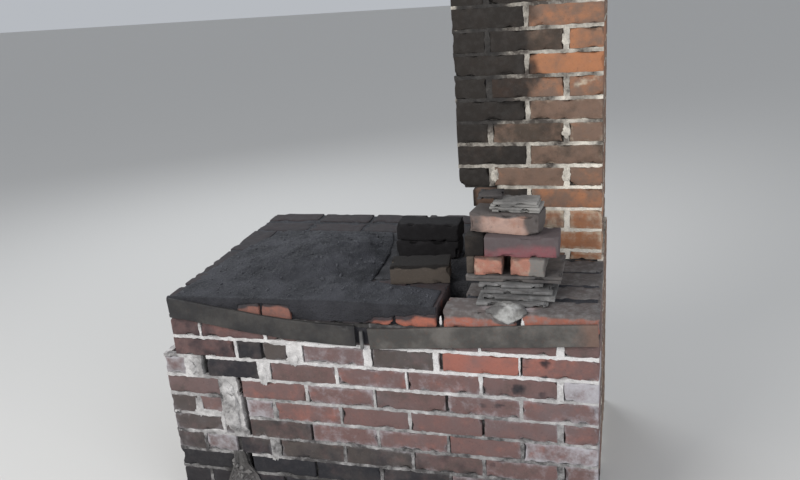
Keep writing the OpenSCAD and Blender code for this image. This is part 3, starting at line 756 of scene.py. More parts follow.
# grime and painted shade from the front's foot run a little way round the corners
def plainSoot(place, dark, pale):
    fromFront = 1 - smooth(place.y + 0.08 * lumps(place, 9, 5.0), frontFace + 0.03, frontFace + 0.22)
    grimeAndShade = 0.62 * fromFront * (1 - smooth(place.z, hearthTop - 0.62, hearthTop - 0.48))
    return max(dark, grimeAndShade, 0.45 * (1 - smooth(place.z, 0.0, 0.22)),
               0.75 * smooth(place.z, hearthTop - 0.16, hearthTop)), pale


def sidePaint(place):
    return 0.62 + 0.3 * lumps(place, 6, 3.0), plainSoot(place, 0, 0)[0] * 0.7


def sideLooks(count):
    return [(0.45 + rng.uniform(-0.2, 0.2), 0.05 + rng.uniform(0, 0.1),
             rng.uniform(0.0, 0.25)) for _ in range(count)]


def laySide(bricks, joints, row, z0, z1, toBox, axis, face, bedEnds=None):
    layRun(bricks, joints, row, z0, z1, toBox, axis, sideLooks(len(row)), wallWear, plainSoot, sidePaint,
           brick["width"], face,
           bedEnds=bedEnds)


# the upright joint between a corner brick and the first brick of a side
def cornerJoint(joints, toBox, start, end, z0, z1, face, seed):
    low, high = toBox(start, end, jointInset, jointDepth, z0 - 0.001, z1 + 0.001)
    addJoint(joints, low, high, seed, 2, face, sidePaint)


sideLength = backFace - frontFace
bedGap = 0.003

# left side: its first bricks belong to the broken corner where the crack runs
leftBricks, leftJoints = newMesh(), newMesh()
for course in range(1, 11):
    z0, z1 = courseLevel(course)
    z0 = max(z0, brick["joint"])
    if course % 2 == 0:
        row = [(brick["width"] + 0.0145 + i * moduleLength,
                brick["width"] + 0.0145 + i * moduleLength + brick["length"]) for i in range(3)]
    else:
        row = stretcherRow(sideLength)

    def leftBox(a, b, inset, depth, low, high, shift=0.0):
        return ((leftEdge - shift + inset, frontFace + a, low),
                (leftEdge - shift + depth, frontFace + b, high))

    def movedBox(a, b, inset, depth, low, high):
        return leftBox(a, b, inset, depth, low, high, cornerShift)

    bedStart = bedGap if course < crackFrom else None
    if course < crackFrom:
        rest = row if course % 2 == 0 else row[1:]
        cornerJoint(leftJoints, leftBox, brick["length"] if course % 2 else brick["width"], rest[0][0], z0,
                    z1, 0, 3.0 * course)
    elif course % 2 == 0:
        a, b = row[0]
        laySide(cornerBricks, cornerJoints, [(a, wallDepth)], z0, z1, movedBox, 1, 0, (bedGap, wallDepth))
        cornerJoint(cornerJoints, movedBox, brick["width"], a, z0, z1, 0, 3.0 * course)
        rest = [(wallDepth + 0.008, b)] + row[1:]
    else:
        low, high = movedBox(bedGap, wallDepth - bedGap, jointInset, jointDepth, z1 - 0.0005, z1 + bedTop)
        addJoint(cornerJoints, low, high, 3.0 * course, 1, 0, sidePaint, cell=0.010)
        rest = row[1:]
    laySide(leftBricks, leftJoints, rest, z0, z1, leftBox, 1, 0,
            (bedStart or rest[0][0], sideLength - bedGap))
    if course % 2 == 0:
        cornerJoint(leftJoints, leftBox, rest[-1][1], sideLength - brick["width"], z0, z1, 0, 4.0 * course)
newPiece("cornerBricks", cornerBricks, cornerClay, ["cracked_corner"])
newPiece("cornerMortar", cornerJoints, frontMortar)
leftLow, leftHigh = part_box("left_wall")
addCore(leftJoints, (leftLow.x + coreInset, leftLow.y + 0.003, 0),
        (leftHigh.x, backFace - coreInset, leftHigh.z), 4.0)
addCore(leftJoints, (leftLow.x + coreInset, frontFace + coreInset, leftHigh.z - 2 * coursePitch),
        (leftHigh.x, leftLow.y, leftHigh.z), 4.5)
newPiece("leftBricks", leftBricks, sideClay, ["left_wall"])
newPiece("leftMortar", leftJoints, sideMortar)

# right side in front of the chimney
rightLow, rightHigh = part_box("right_wall")
rightBricks, rightJoints = newMesh(), newMesh()


def rightBox(a, b, inset, depth, low, high):
    return ((rightEdge - depth, frontFace + a, low), (rightEdge - inset, frontFace + b, high))


for course in range(1, 11):
    z0, z1 = courseLevel(course)
    z0 = max(z0, brick["joint"])
    runEnd = rightHigh.y - frontFace - brick["joint"]
    row = [(brick["width"] + 0.010, brick["width"] + 0.010 + brick["length"]),
           (brick["width"] + 0.020 + brick["length"], runEnd)]
    if course % 2:
        row = [(moduleLength, runEnd)]
    laySide(rightBricks, rightJoints, row, z0, z1, rightBox, 1, 0, (bedGap, runEnd))
    cornerJoint(rightJoints, rightBox, brick["length"] if course % 2 else brick["width"], row[0][0], z0, z1,
                0, 8.0 * course)
    low, high = rightBox(runEnd, runEnd + brick["joint"], jointInset, jointDepth, z0 - 0.011, z1 + 0.001)
    addJoint(rightJoints, low, high, 7.0 * course, 2, 0, sidePaint)
addCore(rightJoints, (rightLow.x, frontFace + coreInset, 0),
        (rightHigh.x - coreInset, rightHigh.y, rightHigh.z), 6.0)
newPiece("rightBricks", rightBricks, sideClay, ["right_wall"])
newPiece("rightMortar", rightJoints, sideMortar)

# back wall, up to the chimney
backLow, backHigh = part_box("back_wall")
backBricks, backJoints = newMesh(), newMesh()


def backBox(a, b, inset, depth, low, high):
    return ((leftEdge + a, backFace - depth, low), (leftEdge + b, backFace - inset, high))


for course in range(1, 11):
    z0, z1 = courseLevel(course)
    z0 = max(z0, brick["joint"])
    runEnd = backHigh.x - leftEdge - brick["joint"]
    row = stretcherRow(runEnd) if course % 2 == 0 else stretcherRow(runEnd, brick["width"] + 0.010)
    laySide(backBricks, backJoints, row, z0, z1, backBox, 0, 1, (bedGap, runEnd))
    if course % 2:
        cornerJoint(backJoints, backBox, brick["width"], row[0][0], z0, z1, 1, 6.0 * course)
    low, high = backBox(runEnd, runEnd + brick["joint"], jointInset, jointDepth, z0 - 0.011, z1 + 0.001)
    addJoint(backJoints, low, high, 5.0 * course, 2, 1, sidePaint)
addCore(backJoints, (leftLow.x + coreInset, backLow.y, 0), (backHigh.x, backFace - coreInset, backHigh.z),
        7.0)
newPiece("backBricks", backBricks, sideClay, ["back_wall"])
newPiece("backMortar", backJoints, sideMortar)

print("chimney")
chimneyWidth = chimneyRight - chimneyEdge
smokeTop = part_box("chimney_left")[0].z
smokeWidth = 0.118
chimneyBrick = {"length": 0.208, "width": 0.094, "joint": 0.014}
# bricks of the chimney's front that aren't brown, by course from the floor and place from the right
chimneyKinds = {
    # the two lowest bricks on the right are orange clay brightened as painted light against the pile's shadow
    "flushed": [(12, 0)], "orangeWithPaintedLight": [(10, 0), (11, 0)], "orange": [(19, 0), (20, 0)], "warm": [(18, 0), (21, 0), (23, 0)], "rust": [(18, 1)],
    "red": [(11, 1), (13, 0), (14, 0)], "milky": [(12, 1)], "common": [(10, 1)],
    "dull": [(16, 1), (20, 1), (22, 0), (22, 1)], "sooty": [(13, 1), (15, 1), (16, 2), (17, 1), (19, 1),
                                                            (21, 1), (23, 1)],
    "black": [(14, 2), (18, 2), (20, 2), (22, 2)],
}


# a slanting smear of cream mortar near the right edge
def creamSmear(place):
    along = place.x - (chimneyRight - 0.048)
    across = place.z - hearthTop - 0.540 - 0.28 * along
    return 0.62 * (1 - smooth(abs(across), 0.004, 0.016)) * (1 - smooth(abs(along), 0.022, 0.052))


# soot runs up the left side of the chimney's front; its edge is ragged
def chimneySoot(place, dark, pale):
    up = place.z - hearthTop
    edge = chimneyEdge + 0.05 + 0.20 * smooth(up, 0.38, 0.50) - 0.10 * smooth(up, 1.0, 1.6)
    edge += 0.05 * lumps(place, 7, 3.0) + 0.03 * lumps(place, 22, 5.0)
    return max(dark, 0.85 * (1 - smooth(place.x, edge - 0.04, edge + 0.05)) * (1 - 0.4 * smooth(up, 1.1, 1.7))), max(pale, creamSmear(place))


def flueSoot(place, dark, pale):
    wall = brick["width"] - 0.02
    if chimneyEdge + wall < place.x < chimneyRight - wall and chimneyFace + wall < place.y < backFace - wall:
        return 1.1, 0.0
    up = place.z - hearthTop
    if place.x < chimneyEdge + 0.006:
        return max(dark, 0.85 - 0.5 * smooth(up, 0.8, 1.6) + 0.3 * lumps(place, 6, 4.0)), pale
    if place.y < chimneyFace + 0.04:
        return chimneySoot(place, dark, pale)
    return max(dark, 0.30 * (1 - smooth(place.z, 0.0, 0.3)),
               0.5 * smooth(place.z, chimneyTop - 0.10, chimneyTop)), pale


# cream and bright low down on the right, partly the mortar's own colour and partly painted light where the pile shades
# it, grey higher up, nearly black in the soot on the left; a painted highlight runs along the left edge
def chimneyPaint(place):
    up = place.z - hearthTop
    right, middle = smooth(place.x, 0.50, 0.56), smooth(place.x, 0.38, 0.44)
    low = 1 - smooth(up, 0.22, 0.36)
    tone = right * (0.40 + 0.75 * low) + (1 - right) * middle * (0.24 + 0.30 * low)
    tone += (1 - right) * (1 - middle) * 0.30 * (1 - smooth(up, 0.36, 0.44))
    # painted highlight along the chimney's left edge
    tone += 0.45 * (1 - smooth(place.x, chimneyEdge + 0.005, chimneyEdge + 0.035)) * smooth(lumps(place, 9, 7.0), 0.0, 0.25)
    if place.y > chimneyFace + 0.05:
        tone = 0.45
    tone += (0.12 + 0.36 * (1 - low) * smooth(place.x, 0.36, 0.46)) * lumps(place, 16, 2.0)
    veil = 0.2 + 0.75 * (1 - smooth(place.x, 0.34, 0.42)) * smooth(up, 0.36, 0.44) - 0.6 * (tone > 0.3)
    return clamp(tone, 0.0), flueSoot(place, 0.0, 0.0)[0] * (clamp(veil) if place.y < chimneyFace + 0.05 else 0.7)


def chimneyRow(isFull):
    long, wide = chimneyBrick["length"], chimneyBrick["width"]
    if isFull:
        return [(0.0, long), (long + chimneyBrick["joint"], chimneyWidth)]
    gap = (chimneyWidth - 2 * wide - long) / 2
    return [(0.0, wide), (wide + gap, chimneyWidth - wide - gap), (chimneyWidth - wide, chimneyWidth)]


def chimneyFrontBox(a, b, inset, depth, low, high):
    return ((chimneyRight - b, chimneyFace + inset, low), (chimneyRight - a, chimneyFace + depth, high))


# below the hearth the base stands out on the right as far as the forge's wall
def chimneyBackBox(a, b, inset, depth, low, high):
    right = rightEdge if a == 0.0 and high < hearthTop + 0.004 else chimneyRight - a
    return ((chimneyRight - b, backFace - depth, low), (right, backFace - inset, high))


def chimneyRightBox(a, b, inset, depth, low, high):
    shift = rightEdge - chimneyRight if high < hearthTop + 0.004 else 0.0
    return ((chimneyRight + shift - depth, chimneyFace + a, low),
            (chimneyRight + shift - inset, chimneyFace + b, high))


def chimneyLeftBox(a, b, inset, depth, low, high):
    return ((chimneyEdge + inset, chimneyFace + a, low), (chimneyEdge + depth, chimneyFace + b, high))


def creamPaint(place):
    return 0.6, 0.0


chimneySides = {
    "Front": {"box": chimneyFrontBox, "axis": 0, "face": 1, "node": "chimney_front", "cell": 0.012},
    "Back": {"box": chimneyBackBox, "axis": 0, "face": 1, "node": "chimney_back", "cell": 0.022},
    "Right": {"box": chimneyRightBox, "axis": 1, "face": 0, "node": "chimney_right", "cell": 0.022},
    "Left": {"box": chimneyLeftBox, "axis": 1, "face": 0, "node": "chimney_left", "cell": 0.022},
}
inner = brick["width"] - 0.004
chimneyCourses = 36
baseBricks, baseJoints = newMesh(), newMesh()
for side, setup in chimneySides.items():
    upperBricks, upperJoints = newMesh(), newMesh()
    isFace = setup["face"] == 1
    for course in range(chimneyCourses):
        z0 = brick["levellingBed"] + brick["joint"] + course * coursePitch
        z1 = z0 + brick["height"]
        isBase = z1 < hearthTop + 0.004
        if isBase and side in ("Front", "Left"):
            continue
        bricks, joints = (baseBricks, baseJoints) if isBase else (upperBricks, upperJoints)
        z0 = z0 if isBase else max(z0, hearthTop)
        isFull = course % 2 == 1
        isHole = z0 >= hearthTop - 0.001 and z1 < smokeTop + 0.001
        if side == "Left" and isHole:
            continue
        row = chimneyRow(isFull if isFace else not isFull)
        looks = [pickLook(chimneyKinds if side == "Front" else {}, (course, k),
                          "brown" if side == "Front" else "common", 0.12)
                 for k in range(len(row))]
        depths = [inner] * len(row)
        bedEnds = None
        if isFace and not isFull:
            depths = [chimneyBrick["length"], inner, chimneyBrick["length"]]
        if not isFace and not isFull:
            row, looks, depths = [], [], []
        if not isFace and isFull:
            row, looks, depths, bedEnds = row[1:2], looks[1:2], depths[1:2], (0.01, chimneyWidth - 0.01)
        if side == "Front" and isHole:
            holeAt = chimneyWidth - smokeWidth
            kept = [k for k, (a, b) in enumerate(row) if a < holeAt - 0.03]
            row = [(row[k][0], min(row[k][1], holeAt)) for k in kept]
            looks, depths = [looks[k] for k in kept], [depths[k] for k in kept]
            bedEnds = (0.0, holeAt)
        bedRise = min(brick["joint"], chimneyTop - z1 - 0.0006) if course == chimneyCourses - 1 else None
        if row:
            layRun(bricks, joints, row, z0, z1, setup["box"], setup["axis"], looks, wallWear, flueSoot,
                   chimneyPaint, depths,
                   setup["face"], cell=setup["cell"], bedEnds=bedEnds, bedRise=bedRise)
        if not isFace and not isFull:
            # the ends of two stretchers of the other walls meet at a wide joint
            middle = chimneyWidth / 2
            low, high = setup["box"](middle - 0.007, middle + 0.007, jointInset, jointDepth, z0 - 0.001,
                                     z1 + 0.001)
            addJoint(joints, low, high, newSeed(), 2, 0, chimneyPaint)
            low, high = setup["box"](0.01, chimneyWidth - 0.01, jointInset, jointDepth, z1 - 0.0005,
                                     z1 + bedTop)
            addJoint(joints, low, high, newSeed(), 1, 0, chimneyPaint, cell=0.010)
        if not isFace and isFull:
            gap = row[0][0] - chimneyBrick["width"]
            for a in (chimneyBrick["width"], row[0][1]):
                low, high = setup["box"](a, a + gap, jointInset, jointDepth, z0 - 0.001, z1 + 0.001)
                addJoint(joints, low, high, newSeed(), 2, 0, chimneyPaint)
    joints = upperJoints
    startZ = smokeTop if side in ("Front", "Left") else hearthTop
    low, high = setup["box"](coreInset, chimneyWidth - coreInset, coreInset, brick["width"] - coreInset,
                             startZ, chimneyTop - 0.012)
    addCore(joints, low, high, 8.0)
    if side == "Front":
        low, high = setup["box"](coreInset, chimneyWidth - smokeWidth - 0.012, coreInset,
                                 brick["width"] - coreInset, hearthTop, smokeTop)
        addCore(joints, low, high, 9.0)
        # mortar pressed out of the upright joints
        for x, up in ((0.545, 0.396), (0.330, 0.265), (0.545, 0.662), (0.545, 0.264)):
            addBlob(joints, (x, chimneyFace + 0.003, hearthTop + up), (0.011, 0.003, 0.018), creamPaint,
                    up * 9)
    newPiece("chimney" + side + "Bricks", upperBricks, chimneyClay, [setup["node"]])
    newPiece("chimney" + side + "Mortar", upperJoints, chimneyMortar)

print("top bricks")


# how far coal dust hangs over the upper rim of the front, each up to the place where its stretch ends
dustDrops = [(-0.385, 0.060), (-0.335, 0.018), (-0.205, 0.012), (0.028, 0.060), (0.09, 0.042), (0.150, 0.034),
             (0.240, 0.024), (0.385, 0.019), (0.452, 0.034), (math.inf, 0.007)]


def dustDrop(x):
    return next(drop for end, drop in dustDrops if x < end)


# the drop changes from brick to brick, with a short slope between
def softDrop(x):
    return sum(dustDrop(x + shift) for shift in (-0.010, -0.004, 0.004, 0.010)) / 4


def topSoot(place, dark, pale):
    down = hearthTop - place.z
    drop = softDrop(place.x) + 0.006 * lumps(place, 24, 2.0)
    nearAsh = 1 - smooth(math.hypot(place.x - 0.412,
                                    (place.y - frontFace - 0.02) * 0.8) + 0.03 * lumps(place, 16, 1.0), 0.045, 0.115)
    if place.y < frontFace + 0.012:
        return clamp(1.0 - 0.9 * smooth(down, drop - 0.006, drop + 0.012) + 0.25 * lumps(place, 40, 4.0)), pale
    return max(1 - smooth(down, 0.003, 0.014), 0.75) * (1 - 0.5 * nearAsh), max(pale, 0.75 * nearAsh)


topPieces = {
    "topBricksRight": {"node": "top_bricks_front_right", "tone": 0.74, "clay": ashyClay},
    "topBricksMiddle": {"node": "top_bricks_front_middle", "tone": 0.78},
    "topBricksLeft": {"node": "top_bricks_front_left", "tone": 0.46},
    "topBricksLeftSide": {"node": "top_bricks_left", "tone": 0.30},
    "topBricksRightSide": {"node": "top_bricks_right", "tone": 0.40, "clay": ashyClay},
    "topBricksBack": {"node": "top_bricks_back", "tone": 0.35},
}


# the separate solids of a CAD node, as pairs of corners
def solidsOf(nodeName):
    bm = bmesh.new()
    bm.from_mesh(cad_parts[nodeName].data)
    bmesh.ops.remove_doubles(bm, verts=bm.verts, dist=0.00005)
    bm.verts.ensure_lookup_table()
    seen, solids = set(), []
    for first in bm.verts:
        if first.index in seen:
            continue
        group, todo = [], [first]
        seen.add(first.index)
        while todo:
            vert = todo.pop()
            group.append(vert.co.copy())
            for edge in vert.link_edges:
                other = edge.other_vert(vert)
                if other.index not in seen:
                    seen.add(other.index)
                    todo.append(other)
        low = Vector([min(c[a] for c in group) for a in range(3)])
        high = Vector([max(c[a] for c in group) for a in range(3)])
        solids.append((low, high))
    bm.free()
    return sorted(solids, key=lambda s: (round(s[0].x, 3), round(s[0].y, 3)))


for name, setup in topPieces.items():
    bm = newMesh()
    isFront = "Side" not in name and name != "topBricksBack"
    for low, high in solidsOf(setup["node"]):
        drop = Vector((0, 0, rng.uniform(0.0, 0.003)))
        addBlock(bm, low + Vector((0.0006, 0.001, -0.0005)), high - Vector((0.0006, 0.0006, 0)) - drop,
                 (setup["tone"] + rng.uniform(-0.12, 0.08), 0.0, rng.uniform(0.0, 0.12)),
                 {"swell": 0.0020, "chip": 0.040}, newSeed(), cell=0.0095 if isFront else 0.016, wear=0.005, soot=topSoot)
    newPiece(name, bm, setup.get("clay", topClay), [setup["node"]])

# dust trodden into the joints of the top course, left out where the open joint is
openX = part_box("top_bricks_front_right")[0].x
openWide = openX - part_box("top_bricks_front_middle")[1].x
fillTop = hearthTop - 0.0045
bedInset = 0.004
topFills = [
    ((leftEdge + 0.008, frontFace + 0.010), (openX - openWide - 0.004, frontFace + wallDepth)),
    ((openX + 0.046, frontFace + 0.010), (rightEdge - 0.008, frontFace + wallDepth)),
    ((leftEdge + 0.008, frontFace + wallDepth), (leftEdge + wallDepth - bedInset, backFace - wallDepth)),
    ((rightEdge - wallDepth + bedInset, frontFace + wallDepth), (rightEdge - 0.008, chimneyFace)),
    ((leftEdge + 0.008, backFace - wallDepth), (chimneyEdge, backFace - 0.008)),
]

print("bed")


def copyNode(nodeName):
    bm = newMesh()
    bm.from_mesh(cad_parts[nodeName].data)
    bmesh.ops.remove_doubles(bm, verts=bm.verts, dist=0.00005)
    bmesh.ops.dissolve_limit(bm, angle_limit=0.001, verts=bm.verts, edges=bm.edges)
    return bm


# cuts a flat-faced copy into cells with planes along the given axes
def sliceCells(bm, cell, axes=(0, 1)):
    for axis in axes:
        places = [v.co[axis] for v in bm.verts]
        low, high = min(places), max(places)
        count = round((high - low) / cell)
        normal = [0, 0, 0]
        normal[axis] = 1
        for i in range(1, count):
            point = [0, 0, 0]
            point[axis] = low + (high - low) * i / count
            bmesh.ops.bisect_plane(bm, geom=bm.verts[:] + bm.edges[:] + bm.faces[:], plane_co=point,
                                   plane_no=normal, dist=1e-6)


bed = copyNode("hearth_bed")
sliceCells(bed, 0.011)
for vert in bed.verts:
    if vert.co.z > hearthTop - 0.002:
        vert.co.z += 0.005 * (lumps(vert.co, 18, 2.0) + 0.5 * lumps(vert.co, 50, 6.0) - 0.7)
newPiece("hearthBed", bed, bedDust, ["hearth_bed"])
fills = newMesh()
for index, ((x0, y0), (x1, y1)) in enumerate(topFills):
    addBlock(fills, (x0, y0, hearthTop - brick["height"]), (x1, y1, fillTop), (0.5, 0, 0),
             {"swell": 0.004, "chip": 0.0}, 3.0 + index, cell=0.02)
newPiece("topFills", fills, coalDust)
core = copyNode("rubble_core")
sliceCells(core, 0.03)
newPiece("rubbleCore", core, rubbleMortar, ["rubble_core"])

heapLow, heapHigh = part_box("coal_heap")


# the dust lies in drifts: broad waves, small slips and crumbs
def drift(place):
    ridge = 1 - abs(lumps((place.x * 0.7 + place.y, place.y - place.x * 0.4, 0), 9, 3.0)) * 2
    return 0.9 * lumps(place, 8, 1.0) + 0.6 * ridge + 0.40 * lumps(place, 28, 3.0) + 0.25 * lumps(place, 75, 7.0) - 0.75


heap = copyNode("coal_heap")
bmesh.ops.triangulate(heap, faces=heap.faces)
bmesh.ops.subdivide_edges(heap, edges=heap.edges, cuts=5, use_grid_fill=True)
for vert in heap.verts:
    if vert.co.z > hearthTop + 0.0005:
        lift = 0.25 + 0.75 * smooth(vert.co.z, hearthTop + 0.004, hearthTop + 0.03)
        edge = smooth(vert.co.y, heapLow.y, heapLow.y + 0.02)
        vert.co.z = max(vert.co.z + lift * edge * 0.014 * drift(vert.co), hearthTop - 0.001)
    elif vert.co.y > frontFace + 0.06:
        vert.co.z -= 0.007
heapTree = BVHTree.FromBMesh(heap)

ashLow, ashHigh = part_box("ash_heap")


# ash is thick in the middle of its heap and thins out to its ends
def ashLook(place):
    along = abs(place.x - (ashLow.x + ashHigh.x) / 2 - 0.004) / (ashHigh.x - ashLow.x) * 2
    back = smooth(place.y, frontFace + 0.035, frontFace + 0.085)
    tone = 1.0 - 1.2 * along ** 1.3 - 0.7 * back - 0.5 * smooth(hearthTop - place.z, 0.012, 0.045)
    return (clamp(tone + 0.5 * lumps(place, 45, 3.0)), 0.0, 0.0, 0.0)


ash = copyNode("ash_heap")
bmesh.ops.subdivide_edges(ash, edges=ash.edges, cuts=3, use_grid_fill=True)
for vert in ash.verts:
    if vert.co.z > hearthTop + 0.001:
        vert.co.z += 0.005 * (lumps(vert.co, 55, 1.0) + 0.5 * lumps(vert.co, 140, 1.0) - 0.3)
paintLook(ash, ashLook)
ashTree = BVHTree.FromBMesh(ash)
newPiece("ashHeap", ash, ashDust, ["ash_heap"])


# small broken stones of coal, each with few faces
def addLump(bm, place, size, seed):
    made = bmesh.ops.create_icosphere(bm, subdivisions=1, radius=1.0)["verts"]
    spin = Matrix.Rotation(rng.uniform(0, 6.28), 3, Vector((rng.uniform(-1, 1), rng.uniform(-1, 1),
                                                            1)).normalized())
    stretch = Vector((rng.uniform(0.7, 1.3), rng.uniform(0.6, 1.1), rng.uniform(0.5, 0.9)))
    for vert in made:
        shape = vert.co * (1 + 0.5 * lumps(vert.co, 1.3, seed))
        vert.co = place + spin @ Vector((shape.x * stretch.x, shape.y * stretch.y,
                                         shape.z * stretch.z)) * size


def scatter(bm, tree, low, high, count, sizes, floorLevel, sink=0.1):
    for _ in range(count):
        x, y = rng.uniform(low[0], high[0]), rng.uniform(low[1], high[1])
        hit = tree.ray_cast(Vector((x, y, hearthTop + 0.3)), Vector((0, 0, -1)))
        if hit[0] is None or hit[0].z < floorLevel:
            continue
        size = sizes[0] + (sizes[1] - sizes[0]) * rng.random() ** 4
        addLump(bm, hit[0] + Vector((0, 0, size * sink)), size, rng.uniform(0, 50))


crumbs = newMesh()
scatter(crumbs, heapTree, heapLow, heapHigh, 1500, (0.0012, 0.0075), hearthTop + 0.001, -0.1)
newPiece("coalHeap", heap, coalDust, ["coal_heap"], sharp=80)
newPiece("coalCrumbs", crumbs, coalLump, sharp=60)


# dust that has slid over the front rim lies on the bricks' faces as a ragged skirt
def addSkirt(bm, x0, x1, dropAt, ground, seed):
    columns = max(3, round((x1 - x0) / 0.0042))
    rings = []
    for i in range(columns + 1):
        x = x0 + (x1 - x0) * i / columns
        place = Vector((x, 0, 0))
        hit = ground.ray_cast(Vector((x, frontFace + 0.011, hearthTop + 0.3)), Vector((0, 0, -1)))[0]
        lip = max(0.0018, hit.z - hearthTop + 0.0004 if hit else 0.0) + 0.001 * lumps(place, 40, seed)
        drop = max(0.004, dropAt(x) + 0.0035 * lumps(place, 26, seed) + 0.002 * lumps(place, 90, seed + 4))
        ring = [(0.0135, lip - 0.004), (0.0115, lip - 0.0004), (0.006, lip * 0.92), (0.0022, lip * 0.5),
                (-0.0008, -0.003)]
        for step in range(1, 8):
            t = step / 8
            out = 0.0022 * (1 - t * t) * (1 + 1.2 * lumps((x, t * drop, 0), 60, seed + 8))
            ring.append((-max(0.0003, out), -0.003 - (drop - 0.003) * t))
        ring += [(0.001, -drop), (0.008, -drop + 0.001)]
        rings.append([bm.verts.new((x, frontFace + y, hearthTop + z)) for y, z in ring])
    for left, right in zip(rings, rings[1:]):
        for k in range(len(left)):
            n = (k + 1) % len(left)
            bm.faces.new((left[k], left[n], right[n], right[k]))
    bm.faces.new(rings[0])
    bm.faces.new(rings[-1][::-1])


skirt = newMesh()
addSkirt(skirt, leftEdge + 0.003, openX - openWide - 0.002, lambda x: softDrop(x) * 0.9 - 0.003, heapTree,
         2.0)
bmesh.ops.recalc_face_normals(skirt, faces=skirt.faces)
newPiece("dustSkirt", skirt, rimDust, sharp=80)


def ashDrop(x):
    middle = (ashLow.x + ashHigh.x) / 2
    return 0.002 + 0.036 * max(0.0, 1 - abs(x - middle - 0.004) / 0.046) ** 0.6


ashSkirt = newMesh()
addSkirt(ashSkirt, ashLow.x + 0.004, ashHigh.x - 0.004, ashDrop, ashTree, 5.0)
paintLook(ashSkirt, ashLook)
bmesh.ops.recalc_face_normals(ashSkirt, faces=ashSkirt.faces)
newPiece("ashSkirt", ashSkirt, ashDust, sharp=80)

print("iron")


def ironBar(name, nodeName, material, seed):
    bm = copyNode(nodeName)
    sliceCells(bm, 0.016, (0, 2))
    low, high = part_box(nodeName)
    for vert in bm.verts:
        dent = 0.0018 * lumps(vert.co, 9, seed) + 0.0009 * lumps(vert.co, 40, seed + 2)
        vert.co.y = clamp(vert.co.y + abs(dent), low.y, high.y)
        vert.co.z += 0.0016 * lumps(vert.co, 14, seed + 6)
    edges = [e for e in bm.edges if e.is_manifold and e.calc_face_angle(0) > 0.9]
    bmesh.ops.bevel(bm, geom=edges, offset=0.0012, segments=2, profile=0.5, affect="EDGES", material=-1)
    newPiece(name, bm, material, [nodeName])


ironBar("edgeBarLeft", "edge_bar_left", sootyIron, 3.0)
ironBar("edgeBarRight", "edge_bar_right", barIron, 8.0)
ironBar("gapStrip", "gap_strip", flatIron, 5.0)

print("loose pieces")


def nodeFrame(nodeName):
    bm = copyNode(nodeName)
    longest = max((e for e in bm.edges), key=lambda e: Vector((e.verts[0].co.x - e.verts[1].co.x,
                                                               e.verts[0].co.y - e.verts[1].co.y, 0)).length)
    d = longest.verts[1].co - longest.verts[0].co
    angle = math.atan2(d.y, d.x) % math.pi
    places = [v.co.copy() for v in bm.verts]
    bm.free()
    return angle, places


# a loose brick or slab takes its place, size and turn from its CAD solid
def looseBlock(name, nodeName, material, look, wear, cell=0.007, sootOf=None, round_=0.004):
    bm = newMesh()
    angle, places = nodeFrame(nodeName)
    if angle > math.pi * 0.75:
        angle -= math.pi
    if math.pi * 0.25 < angle:
        angle -= math.pi / 2
    turn = Matrix.Rotation(angle, 3, "Z")
    centre = sum(places, Vector((0, 0, 0))) / len(places)
    local = [turn.inverted() @ (p - centre) for p in places]
    half = Vector([max(abs(p[a]) for p in local) for a in range(3)])
    addBlock(bm, centre - half, centre + half, look, wear, newSeed(), cell=cell, wear=round_, turn=turn,
             soot=sootOf)
    newPiece(name, bm, material, [nodeName])


# soot that lies on the upper side of a piece and hangs over its rims; on the fire brick this darkness is partly soot
# and partly painted shade, the shadow between it and the fireback
def sootAndShadeOnTop(nodeName, amount, band):
    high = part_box(nodeName)[1]

    def paint(place, dark, pale):
        return max(dark, amount * smooth(place.z + 0.006 * lumps(place, 30, 3.0), high.z - band,
                                         high.z - band * 0.3)), pale

    return paint


# the right low brick carries old mortar on the right half of its end
def oldMortar(place, dark, pale):
    low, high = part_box("pile_brick_low_right")
    split = low.x + 0.55 * (high.x - low.x) + 0.006 * lumps(place, 40, 2.0)
    rim = min(place.x - low.x, high.x - place.x, (high.z - place.z) * 0.8) + 0.006 * lumps(place, 45, 5.0)
    dark = max(dark, 0.5 * (1 - smooth(rim, 0.0, 0.010)))
    return dark, max(pale, 0.9 * smooth(place.x, split - 0.004, split + 0.004))


# grime along the rims of the left low brick's end
def scorchedEnd(place, dark, pale):
    low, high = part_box("pile_brick_low_left")
    rim = min(place.x - low.x, high.x - place.x, (high.z - place.z) * 0.8) + 0.006 * lumps(place, 45, 2.0)
    return max(dark, 0.62 * (1 - smooth(rim, 0.0, 0.012))), pale


def dustyFace(place, dark, pale):
    low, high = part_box("pile_brick_middle")
    rise = place.z + 0.010 * lumps(place, 16, 5.0) + 0.006 * lumps(place, 50,
                                                                   2.0) - 0.10 * (place.x - low.x - 0.10)
    side = 0.8 * smooth(place.x, high.x - 0.012, high.x - 0.004)
    return max(dark, side, 0.12 + 0.85 * smooth(rise, low.z + 0.002, low.z + 0.056)), pale


# dust lies on the top brick and over the right end of its face
def dustyTop(place, dark, pale):
    low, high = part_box("pile_brick_top")
    over = smooth(place.z + 0.008 * lumps(place, 26, 2.0), high.z - 0.020, high.z - 0.004)
    end = smooth(place.x + 0.012 * lumps(place, 30, 6.0), high.x - 0.065, high.x - 0.035)
    start = 0.70 * (1 - smooth(place.x, low.x + 0.015, low.x + 0.075))
    return max(dark, 0.95 * over, 0.8 * end, start), pale


